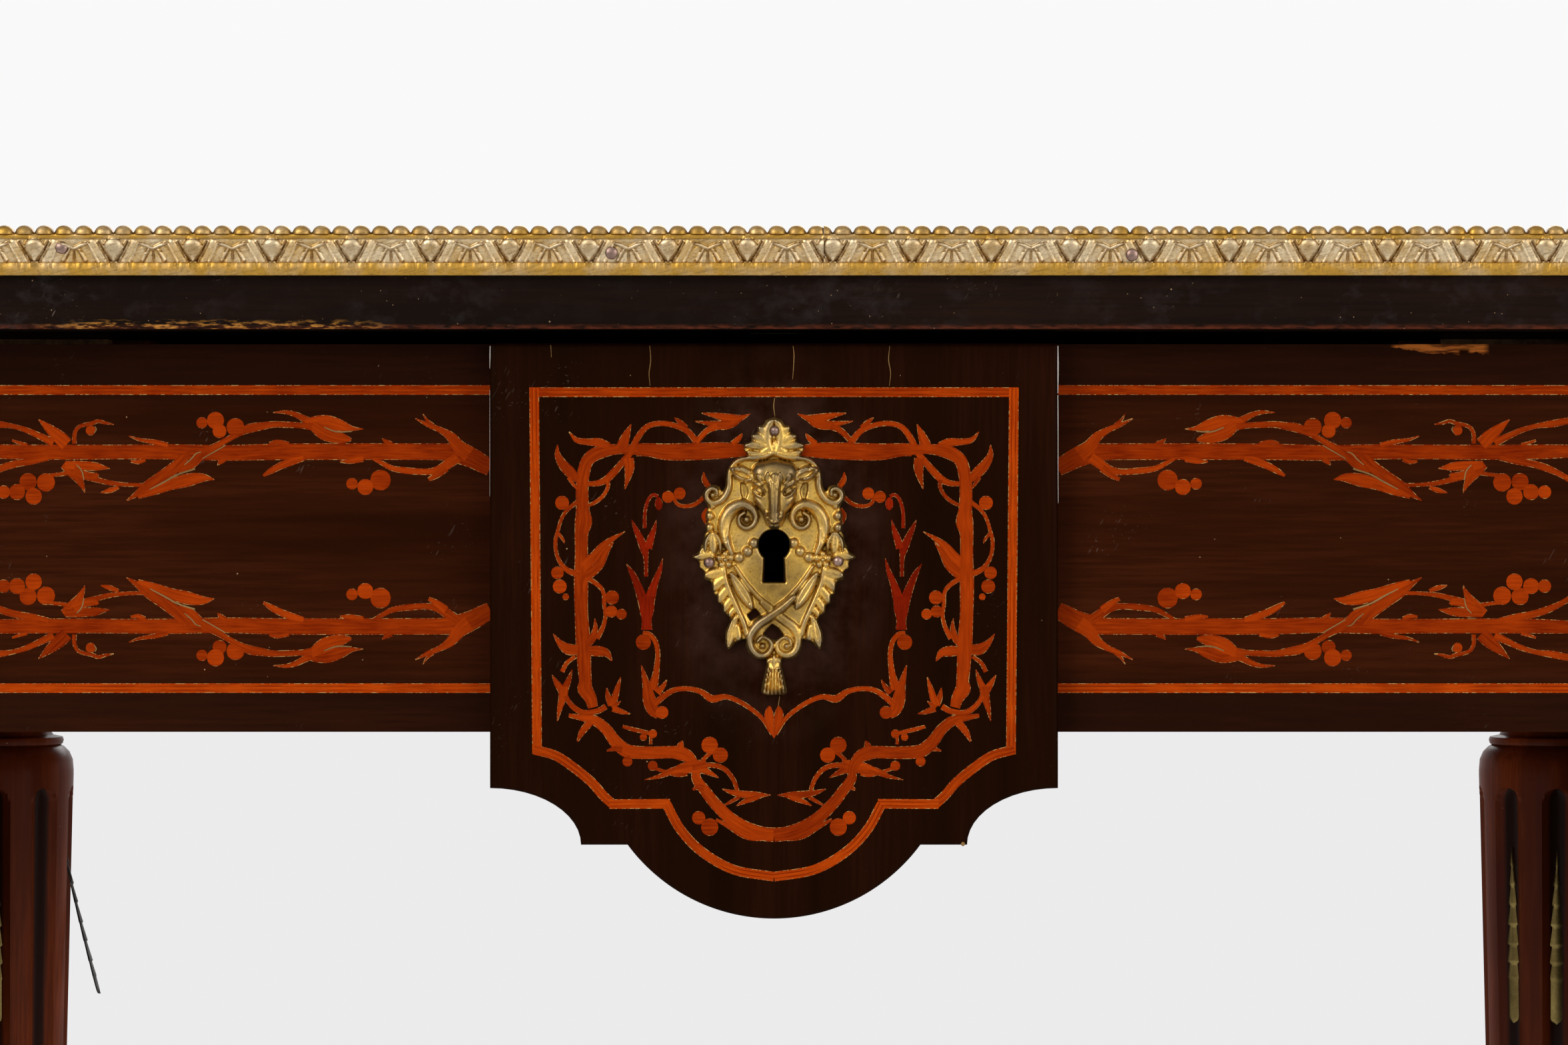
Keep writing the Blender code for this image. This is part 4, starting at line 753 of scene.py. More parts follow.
def moulding_length(start, end, phase, rows, mitres=(0, 0)):
    """Points of one length on (along, column), as along, depth and height in metres, with its marks.
    Near a mitre each point is drawn on along the length by its own depth."""
    depth, height, worn, deep = moulding_repeat(rows)
    step = REPEAT / rows
    count = int(round((end - start) / MM / step)) + 1
    turn = (np.arange(count) + int(round(phase / step))) % rows
    s = np.linspace(start, end, count)[:, None]
    depth, height = depth[turn] * MM, height[turn] * MM
    share = (s - start) / (end - start)
    s = s + depth * (mitres[1] * share**8 - mitres[0] * (1 - share) ** 8)
    return np.stack([s, depth, height], -1), worn[turn], deep[turn]


print("the moulding stands out by", round(float(moulding_repeat(40)[0].max()), 2), "mm")

# %% [markdown]
# The front has two lengths that butt a little right of the middle, each with its own place for the first
# dart. They are drawn on by a hair, so that they touch. The rear has one length, and each leaf has three
# that meet in mitres. On a hanging leaf the moulding looks outwards, so its up direction is the leaf's
# own.
# %% Lengths of moulding
FRONT_ROWS, OTHER_ROWS = 80, 40
BUTT_CLOSE = 0.00012
# Side, place of a dart, and how far the start and the end are drawn on.
FRONT_LENGTHS = (("left", -0.0078, 0, BUTT_CLOSE), ("right", 0.0176, -BUTT_CLOSE, 0))
ALONG_X, ALONG_Y, UPWARDS = (1, 0, 0), (0, 1, 0), (0, 0, 1)
FRONTWARDS, REARWARDS, DOWNWARDS = (0, -1, 0), (0, 1, 0), (0, 0, -1)


def corner_of(node_name, out, up):
    """The foot of a node's back: its far side against out and against up, and nothing along its length."""
    low, high = (np.array(corner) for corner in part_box(node_name))
    way = np.array(out) + np.array(up)
    return np.where(way > 0, low, high) * (way != 0)


def lay_moulding(node_name, body, along, out, up, start, end, phase, rows, mitres=(0, 0)):
    """A length laid from an origin on its node's back foot, along one axis and out along another."""
    points, worn, deep = moulding_length(start, end, phase, rows, mitres)
    origin = corner_of(node_name, out, up)
    along, out, up = (np.array(axis, float) for axis in (along, out, up))
    places = origin + points[..., :1] * along + points[..., 1:2] * out + points[..., 2:] * up
    one = shell(places, wrap_columns=True, caps=True, worn=worn, deep=deep)
    make_piece("brass_" + node_name, [one], chased_brass, body, (node_name,), sharp=60)


for side, dart_x, start_draw, end_draw in FRONT_LENGTHS:
    name = "top_moulding_front_" + side
    low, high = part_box(name)
    start, end = low.x + start_draw, high.x + end_draw
    phase = ((start - dart_x) / MM) % REPEAT
    lay_moulding(name, "carcass", ALONG_X, FRONTWARDS, UPWARDS, start, end, phase, FRONT_ROWS)
low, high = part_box("top_moulding_rear")
lay_moulding("top_moulding_rear", "carcass", ALONG_X, REARWARDS, UPWARDS, low.x, high.x, 0, OTHER_ROWS)
for side, way in (("left", -1), ("right", 1)):
    body, up = side + "_leaf", (way, 0, 0)
    low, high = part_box("leaf_" + side)
    for end, out in (("front", FRONTWARDS), ("rear", REARWARDS)):
        name = f"leaf_moulding_{end}_{side}"
        lay_moulding(name, body, UPWARDS, out, up, low.z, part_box(name)[1].z, 0, OTHER_ROWS, (1, 0))
    name = f"leaf_moulding_outer_{side}"
    lay_moulding(name, body, ALONG_Y, DOWNWARDS, up, low.y, high.y, 0, OTHER_ROWS, (1, 1))

# %% [markdown]
# The shield-shaped plaque hides the middle of the drawer and hangs below it. Its outline is a straight
# top and sides, a hollow at each lower corner, a short flat and a round lobe.
# %% Outline of the plaque
PLAQUE_HALF = 85.3
PLAQUE_STRAIGHT = 133.6
SCOOP_WIDTH, SCOOP_HEIGHT = 27.3, 17.0
FLAT_WIDTH = 14.0
LOBE_DROP = 22.2
TOP_POINTS, SIDE_POINTS, SCOOP_POINTS, FLAT_POINTS, LOBE_POINTS = 30, 44, 12, 6, 36


def run_to(start, end, count):
    """Evenly spaced points from one place towards another, without the last."""
    share = np.linspace(0, 1, count, endpoint=False)[:, None]
    return np.array(start) * (1 - share) + np.array(end) * share


def plaque_outline():
    """The right half by straight runs and arcs, then the left half mirrored, as x and drop from the top."""
    flat = PLAQUE_STRAIGHT + SCOOP_HEIGHT
    lobe_half = PLAQUE_HALF - SCOOP_WIDTH - FLAT_WIDTH
    radius = (lobe_half**2 + LOBE_DROP**2) / (2 * LOBE_DROP)
    a = np.linspace(np.pi / 2, 0, SCOOP_POINTS, endpoint=False)
    scoop = np.stack([PLAQUE_HALF - SCOOP_WIDTH * np.cos(a), flat - SCOOP_HEIGHT * np.sin(a)], 1)
    a = np.linspace(np.arcsin(lobe_half / radius), 0, LOBE_POINTS)
    lobe = np.stack([radius * np.sin(a), flat + LOBE_DROP - radius + radius * np.cos(a)], 1)
    top = run_to((0, 0), (PLAQUE_HALF, 0), TOP_POINTS)
    side = run_to((PLAQUE_HALF, 0), (PLAQUE_HALF, PLAQUE_STRAIGHT), SIDE_POINTS)
    short = run_to((PLAQUE_HALF - SCOOP_WIDTH, flat), (lobe_half, flat), FLAT_POINTS)
    half = np.concatenate([top, side, scoop, short, lobe])
    return np.concatenate([half, (half * (-1, 1))[-2:0:-1]])


print("outline points of the plaque:", len(plaque_outline()))

# %% [markdown]
# The face is ruled between that outline and the keyhole, which works because every point of the outline
# can be seen from the keyhole. Rings of points go from the keyhole over the back, round the rounded edge
# and over the face to the keyhole again, so the plaque is a closed frame with a hole.
# %% Plaque
EDGE_ROUND = 1.5
KEYHOLE_DROP = 60.6
KEYHOLE_ROUND, SLOT_HALF, SLOT_FOOT = 4.7, 2.9, 11.1
PLAQUE_LOW, PLAQUE_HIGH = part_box("plaque")
PLAQUE_FACE = PLAQUE_LOW.y
FACE_SHARES = np.array([0.006, 0.05, 0.15, 0.3, 0.5, 0.7, 0.9, 1.0])


def keyhole_loop(outline):
    """The keyhole met along the ray to each outline point: the round, or the slot where that is further."""
    ray = outline - (0, KEYHOLE_DROP)
    ray = ray / np.linalg.norm(ray, axis=1, keepdims=True)
    side = SLOT_HALF / np.maximum(np.abs(ray[:, 0]), 1e-6)
    slot = np.where(ray[:, 1] > 0, np.minimum(SLOT_FOOT / np.maximum(ray[:, 1], 1e-6), side), 0)
    return (0, KEYHOLE_DROP) + ray * np.maximum(KEYHOLE_ROUND, slot)[:, None]


def mitred_inward(loop):
    """Inward steps of a closed line: across both neighbouring sides at once, so that corners stay mitred."""
    side = np.roll(loop, -1, axis=0) - loop
    across = np.stack([-side[:, 1], side[:, 0]], 1) / np.linalg.norm(side, axis=1, keepdims=True)
    both = across + np.roll(across, 1, axis=0)
    return 2 * both / (both**2).sum(1, keepdims=True)


def plaque_shell():
    """Rings from the keyhole over the back, round the edge and over the face to the keyhole again."""
    outline = plaque_outline()
    hole = keyhole_loop(outline)
    inward = mitred_inward(outline)
    a = np.linspace(0, np.pi / 2, 7)
    thick = (PLAQUE_HIGH.y - PLAQUE_FACE) / MM
    rings, depths = [hole, outline], [thick, thick]
    rings += list(outline + inward * (EDGE_ROUND * (1 - np.cos(a)))[:, None, None])
    depths += list(EDGE_ROUND * (1 - np.sin(a)))
    inner = rings[-1]
    rings += list(inner + (hole - inner) * FACE_SHARES[:, None, None])
    depths += [0] * len(FACE_SHARES)
    rings, depths = np.stack(rings), np.array(depths)[:, None]
    x, drop = rings[..., 0], rings[..., 1]
    y = np.broadcast_to(PLAQUE_FACE + depths * MM, x.shape)
    return shell(np.stack([x * MM, y, DRAWER_TOP - drop * MM], -1), wrap_rows=True, wrap_columns=True)


shield = [plaque_shell()]
make_piece("shield_plaque", shield, plaque_veneer, "drawer", ("plaque",), sharp=30)

# %% [markdown]
# Marquetry is drawn as branches: a curve with a width that swells into a leaf or tapers to a thorn. A
# berry is the same thing, with the width of a circle over its diameter. Each branch becomes a thin strip
# let into the ground, a hair proud of it. For the edge mark, the strips are taken as rows of discs, and a
# point's distance from the edge is the most that it lies inside any disc of the whole spray, so joints
# between strips show no line.
# %% Branches into strips
STRIP = np.array([-1, -1, -0.5, 0, 0.5, 1, 1])
RAISED = np.array([0, 1, 1, 1, 1, 1, 0])
SUNK, PROUD, PROUD_STEP, PROUD_STEPS = -0.03, 0.035, 0.0008, 80
INLAY_STEP, INLAY_LEAST, THINNEST = 0.55, 21, 0.06
SHADE_STEP = 0.618
BERRY_POINTS = 17
DISCS_AT_ONCE = 200


def berry(x, drop, radius):
    """A round berry as rows over its diameter."""
    a = np.linspace(0, np.pi, BERRY_POINTS)
    return np.stack([x - radius * np.cos(a), np.full(BERRY_POINTS, drop), 2 * radius * np.sin(a) + 0.02], 1)


def mirrored(branches):
    """The same branches on the other side of the middle."""
    return [np.array(rows) * (-1, 1, 1) for rows in branches]


def edge_distance(x, drop, discs):
    """The greatest of radius less distance over all discs, for every point."""
    inside = np.full(x.shape, -1.0)
    for part in np.array_split(discs, max(1, len(discs) // DISCS_AT_ONCE)):
        off = np.hypot(x[..., None] - part[:, 0], drop[..., None] - part[:, 1])
        inside = np.maximum(inside, (part[:, 2] / 2 - off).max(-1))
    return np.maximum(inside, 0)


def on_front(face, top):
    """Lays across, drop and lift on an upright face that looks to the front."""
    return lambda x, drop, lift: np.stack([x * MM, face - lift * MM, top - drop * MM], -1)


def inlay_shells(branches, lay):
    """Closed strips laid on a face: seven points across, from one sunk edge over the top to the other."""
    paths = [smooth_path(rows, INLAY_STEP, INLAY_LEAST) for rows in branches]
    discs = np.concatenate(paths)
    shells = []
    for k, path in enumerate(paths):
        way = np.gradient(path[:, :2], axis=0)
        way = way / np.maximum(np.linalg.norm(way, axis=1, keepdims=True), 1e-9)
        offset = np.maximum(path[:, 2:], THINNEST) / 2 * STRIP
        x = path[:, :1] - way[:, 1:] * offset
        drop = path[:, 1:2] + way[:, :1] * offset
        lift = np.where(RAISED, PROUD + PROUD_STEP * (k % PROUD_STEPS), SUNK)
        points = lay(x, drop, np.broadcast_to(lift, x.shape))
        steps = np.linalg.norm(np.diff(path[:, :2], axis=0, prepend=path[:1, :2]), axis=1)
        marks = {"edge": edge_distance(x, drop, discs) * MM, "run": np.cumsum(steps)[:, None] * MM,
                 "across": offset * MM, "shade": k * SHADE_STEP % 1}
        shells.append(shell(points, wrap_columns=True, caps=True, **marks))
    return shells


print("points of a berry:", len(inlay_shells([berry(0, 0, 2)], on_front(FRIEZE_FACE, DRAWER_TOP))[0][0]))

# %% [markdown]
# The plaque is symmetrical, so only its left half is drawn, in millimetres from the middle and from the
# top: across, down and width. A thick branch climbs beside the frame, with tendrils, forked leaves and
# berries.
# %% Branches of the plaque
PLAQUE_BRANCHES = [
    ((-6, 32.6, 1.2), (-9.5, 32.2, 3.6), (-16, 32.2, 5), (-24, 32.5, 5.2), (-32, 32.6, 5), (-38, 32, 4),
     (-41.3, 32, 3.8)),
    ((-9.5, 27.1, 0.4), (-10.6, 28.6, 1.6), (-12.5, 30.2, 1.8)),
    ((-41, 32, 3), (-46.6, 31.8, 3), (-51.9, 32.6, 4), (-55.8, 35, 3.8), (-57.3, 39.8, 3.8),
     (-57.6, 45, 3.8), (-57.4, 50, 4.1), (-57.2, 53.6, 5.2), (-57.8, 57.3, 4.1), (-57.8, 63.4, 3.9),
     (-57.9, 72.2, 4.3), (-57.8, 81, 4), (-57.3, 89.6, 4.5), (-56.9, 97.3, 4.1), (-56.6, 101.6, 3.8),
     (-56.7, 103.7, 4.6), (-55.1, 106.5, 3.7), (-54.3, 109.3, 3)),
    ((-61.6, 111.7, 1.2), (-57.5, 112.4, 2), (-53.8, 113.2, 3), (-50.4, 115.8, 3.3), (-48.2, 118.8, 3.6),
     (-46.1, 121, 3.9), (-43.5, 122.5, 4), (-37.4, 122.9, 3.8), (-31, 122.7, 3.7), (-28, 123.1, 4.2),
     (-25.4, 124.4, 3.6), (-23.6, 127.5, 2.6), (-23.2, 130.9, 3), (-20.6, 134.4, 3.3), (-18, 137.8, 3.5),
     (-13.7, 142.1, 3.7), (-9, 145.2, 4), (-3.8, 147.1, 4.2), (0, 147.5, 4.3)),
    ((-59, 119.5, 0.6), (-57.5, 116.5, 2), (-55, 113.5, 2.4)),
    ((-50.2, 122.3, 0.5), (-47.5, 121.6, 1.8), (-45.5, 121.8, 2.4)),
    ((-27.5, 119.3, 0.4), (-28, 120.6, 2), (-28.5, 122, 2.4)),
    ((-24.4, 134, 0.7), (-22.8, 133.2, 1.6), (-21, 133.6, 1.6)),
    ((-17.4, 142.9, 0.8), (-13.7, 144.9, 1.5), (-9, 147.9, 1.5), (-5, 148.8, 1.2), (-1.5, 148.6, 0.8)),
    ((-21.7, 21, 0.3), (-18, 21.6, 1.6), (-14, 22.4, 2.6), (-10, 22.4, 1.8), (-7.1, 21.2, 0.2)),
    ((-23.7, 23.4, 0.3), (-20, 24, 1.4), (-16, 24.6, 2.8), (-12.5, 24.2, 2.2), (-9.5, 22.6, 0.6)),
    ((-17, 25, 2), (-20, 26.2, 1.8), (-22.4, 28.6, 1.7), (-23.3, 29.8, 1.6)),
    ((-23.3, 29.5, 2), (-26.1, 26.3, 1.8), (-30.5, 24.5, 1.6), (-34.8, 24.1, 1.6), (-38.3, 25.2, 1.7),
     (-41, 28.5, 1.9), (-43.1, 32.8, 1.9), (-44.9, 35, 1.9), (-47.5, 38.1, 2.2), (-50.1, 40.7, 2.2),
     (-52.8, 42, 1.8), (-56, 42.2, 1.4)),
    ((-29.9, 22.3, 0.3), (-28.3, 23.6, 1.5), (-26.3, 25.4, 1.6)),
    ((-50, 41, 1.4), (-49.9, 43.3, 1.2), (-51.4, 45.9, 1.2), (-53.6, 47.7, 1.2), (-56, 48.8, 1)),
    ((-42.9, 24.3, 0.3), (-44.2, 27.2, 2.2), (-45.3, 30, 3.2), (-46.2, 32, 2.6)),
    ((-44.8, 43.8, 0.3), (-43.9, 40.5, 1.8), (-43.4, 37.4, 3), (-43.6, 34.5, 3)),
    ((-61.5, 26.6, 0.3), (-59.3, 29, 1.6), (-56, 29.6, 2), (-52.5, 29.8, 2.6), (-49.5, 30.8, 2)),
    ((-65, 30.5, 0.3), (-64.9, 33.6, 1.9), (-63.2, 36.6, 3), (-61, 38.9, 3.2), (-58.8, 41, 2)),
    ((-61.6, 40.2, 1.4), (-60.2, 42.4, 1), (-59, 43.8, 0.6)),
    ((-59, 47.6, 1.4), (-61.9, 49.9, 1.2), (-63.7, 52.5, 1.1), (-64.8, 56, 1.1), (-65.6, 59.5, 1.2),
     (-65.2, 63.4, 1.2), (-63.7, 66.5, 1.4), (-61.5, 68.4, 1.7), (-58.5, 69.4, 2)),
    ((-64.8, 57, 1), (-63.4, 58.8, 0.9), (-62.9, 60, 0.3)),
    ((-44.7, 56.5, 0.2), (-48.6, 58.8, 1.6), (-51.5, 61.2, 2.6), (-54, 64.2, 3.2), (-57.2, 67.2, 3.2)),
    ((-48.2, 59.8, 0.3), (-50.4, 62.8, 1.8), (-52.3, 66.4, 2.6), (-55, 69, 2.8), (-57.4, 70.4, 2)),
    ((-57.1, 74.5, 0.3), (-56.8, 72.4, 1), (-56, 70.4, 1.2)),
    ((-56, 70.4, 1.6), (-52.8, 72.6, 1.4), (-51.2, 74.8, 1.2), (-51, 78.3, 1.2), (-50.6, 81.8, 1.2),
     (-51.4, 85.3, 1.4), (-53.2, 88.6, 1.8)),
    ((-53.8, 82.6, 0.2), (-53.6, 85.4, 1.5), (-54.4, 88.4, 2.2), (-56, 90.5, 2)),
    ((-66.3, 87.2, 0.2), (-64.2, 90, 2), (-61.8, 91.8, 3.4), (-58.8, 92, 3)),
    ((-48.6, 95.4, 0.3), (-50.3, 93, 2.4), (-53, 92.4, 3.2), (-55.8, 92.4, 2.6)),
    ((-59.6, 94, 1.2), (-62.2, 96, 1.3), (-63.6, 98.6, 1.4)),
    ((-66.6, 99.6, 0.3), (-65.2, 102, 1.7), (-63.6, 104.4, 2.4)),
    ((-60.6, 98, 0.3), (-61.6, 101, 1.6), (-63, 104.2, 2.4)),
    ((-63.2, 103, 3.4), (-63.4, 106, 2.6), (-64.3, 109.6, 1.6), (-65, 113.4, 0.3)),
    ((-62.5, 105.8, 1.4), (-61.6, 107.6, 1.5), (-59.6, 109.7, 1.7), (-56.9, 110.9, 1.7),
     (-53, 110.4, 1.7), (-50.4, 109, 1.8)),
    ((-50.2, 103.4, 0.3), (-49.8, 106, 1.7), (-48.8, 108.6, 2.2)),
    ((-46, 100.2, 0.3), (-47, 103.6, 1.6), (-48, 107, 2.2), (-48.8, 109, 2)),
    ((-46, 107.4, 0.3), (-47.4, 108.6, 1.2), (-48.6, 109.4, 1.6)),
    ((-43.2, 111.2, 0.3), (-45.6, 110.6, 1.5), (-48.4, 109.6, 2)),
    ((-45.4, 115, 1), (-42.6, 115.8, 1.3), (-40, 116.4, 1.3), (-37.6, 117, 1.2)),
    ((-37, 118, 0.9), (-37, 120.4, 1)),
    ((-21.5, 125.2, 1.2), (-19.6, 123.4, 1.2), (-18, 122.4, 1)),
    ((-36.2, 127.4, 1), (-32.7, 128.6, 1.1), (-28.8, 129.6, 1.2), (-26, 129.2, 1.2)),
    ((-38.8, 131, 0.2), (-34.5, 130, 1.3), (-30.5, 128.4, 2.2), (-26.5, 127.8, 2.6), (-22, 127.8, 2.6),
     (-19.2, 129, 1.6), (-16.6, 130.4, 0.3)),
    ((-31.5, 128.6, 0.5), (-28, 126.9, 1.4), (-24, 126, 1.8), (-20.4, 125.5, 0.8)),
    ((-24.5, 127.4, 1.6), (-18.9, 126.6, 1.6), (-15, 127.7, 1.5), (-12.4, 130.6, 1.4),
     (-11.2, 133.6, 1.3), (-10.9, 135, 1)),
    ((-15.5, 133.8, 0.3), (-12.5, 134.8, 1.6), (-9, 135.4, 2.2), (-5, 135.6, 2), (-1, 135.6, 0.2)),
    ((-11.3, 138.8, 0.3), (-9, 137.6, 1.4), (-6, 136.6, 1.6), (-4, 136, 1)),
    ((-14.8, 138.6, 0.6), (-12.6, 137.4, 1.1), (-10.5, 136.2, 1.2)),
    ((-30.2, 45.8, 1), (-29.2, 48.1, 1.1), (-27, 48.9, 1.2), (-23.9, 48.4, 1.3), (-21.3, 46.4, 1.3),
     (-19.6, 44.2, 1.2)),
    ((-21.1, 38.7, 0.3), (-20.9, 41, 1.7), (-19.4, 43.4, 1.6)),
    ((-20.6, 54.3, 0.3), (-21, 51.8, 1.6), (-20, 49.6, 1)),
    ((-39.4, 86.9, 1.2), (-37.4, 87.3, 1.4), (-35.6, 89.5, 1.5), (-34.9, 92.9, 1.5), (-35.1, 96.4, 1.7),
     (-35.6, 100, 2.2), (-36.6, 104, 3.4)),
    ((-39.8, 96.6, 0.3), (-39, 99.6, 1.5), (-38.2, 103, 2.6), (-37.4, 107, 4), (-36.4, 110, 3.6),
     (-34.6, 111.8, 2.2)),
    ((-32.2, 101, 0.3), (-33.2, 102.8, 1.4), (-35, 105, 2.2)),
    ((-36, 108.4, 2), (-32.7, 105.6, 1.8), (-29.7, 104, 1.6), (-25.8, 103.7, 1.5), (-21.9, 104.6, 1.7),
     (-18.6, 106.7, 2.3), (-14.6, 106.1, 1.6), (-10.7, 107.4, 1.5), (-6.8, 109.8, 1.4),
     (-3.4, 112.8, 1.3), (-0.6, 117.4, 1)),
    ((-1.3, 108.9, 0.6), (-1.5, 110.5, 2.4), (-1.4, 112.4, 2.8), (-0.9, 115, 2), (0, 118.4, 0.3)),
]
PLAQUE_BERRIES = (
    (-63.6, 47.9, 2.1), (-65, 68.9, 1.9), (-64.3, 73, 2.1), (-62.5, 76.1, 1), (-48.6, 76.3, 2.1),
    (-48.8, 80.5, 1.8), (-45.8, 81.3, 1.6), (-36.4, 117.2, 1.3), (-39.2, 118.2, 1.1), (-44, 125.5, 1.5),
    (-19.3, 120.6, 2.5), (-16.1, 123.6, 2.3), (-36.4, 126.8, 1.5), (-22.6, 142.4, 2), (-19.3, 145.2, 2.6),
    (-31.8, 46.1, 1.8), (-28.3, 45.1, 1.8), (-39.2, 89.7, 2.3), (-33.6, 110.8, 1.9),
)


def plaque_inlay(name, branches, material):
    """The left half of a drawing and its mirror image, let into the face of the plaque."""
    both = branches + mirrored(branches)
    make_piece(name, inlay_shells(both, on_front(PLAQUE_FACE, DRAWER_TOP)), material, "drawer")


plaque_inlay("plaque_branches", PLAQUE_BRANCHES + [berry(*one) for one in PLAQUE_BERRIES], orange_inlay)

# %% [markdown]
# Inside the branch a cartouche hangs round the escutcheon, with a chain of husks in a redder wood. The
# stringing that frames the whole is a set of lines of one width, and it follows the outline of the
# plaque.
# %% Husks and stringing of the plaque
HUSKS = [
    ((-34.6, 46.2, 0.4), (-34.6, 47, 1.8), (-34.6, 48.2, 2.4), (-34.6, 49.4, 1.8), (-34.6, 50.1, 0.4)),
    ((-34.8, 46, 1.1), (-36.2, 45.5, 1.1), (-37.6, 46.8, 1.1), (-38.5, 49.4, 1.1), (-38.8, 52, 1.1),
     (-38.8, 55.5, 1.2)),
    ((-42.7, 53, 0.2), (-41.6, 55.6, 1.5), (-40.2, 58.6, 2.2), (-39, 61.6, 2.6), (-38.5, 63.8, 1.6)),
    ((-35.3, 53, 0.2), (-36, 55.8, 1.4), (-37, 58.6, 2.2), (-37.8, 61.6, 2.4)),
    ((-38.6, 62.5, 2), (-38.4, 66, 1.3), (-38.4, 70, 1.2)),
    ((-44.3, 66.2, 0.2), (-42.6, 69, 1.7), (-41, 72.6, 2.4), (-39.6, 76.6, 3), (-38.8, 80, 3)),
    ((-33.4, 64.6, 0.2), (-34.4, 68.4, 1.5), (-35.8, 72, 2.2), (-37, 76, 3), (-37.8, 80, 3)),
    ((-38.2, 76, 5), (-38.2, 80, 4.4), (-38.2, 83, 3), (-38.2, 86, 3.4)),
]
STRING = 2.9
PLAQUE_STRINGS = [
    ((-73.4, 14.7), (0, 14.7)),
    ((-72, 13.3), (-71.1, 123.2)),
    ((-72.2, 121.9), (-65.5, 123.8), (-59.9, 127.5), (-54.7, 131.8), (-51.3, 135.7), (-48.4, 138.3)),
    ((-49.4, 138.3), (-31.2, 138.2)),
    ((-32.3, 138.3), (-28, 146), (-21.5, 152.7), (-12, 158), (0, 160.1)),
]


def strings(lines):
    """Lines of across and drop, all of the width of the stringing."""
    return [[(x, drop, STRING) for x, drop in line] for line in lines]


plaque_inlay("plaque_husks", HUSKS, red_inlay)
plaque_inlay("plaque_stringing", strings(PLAQUE_STRINGS), stringing_inlay)

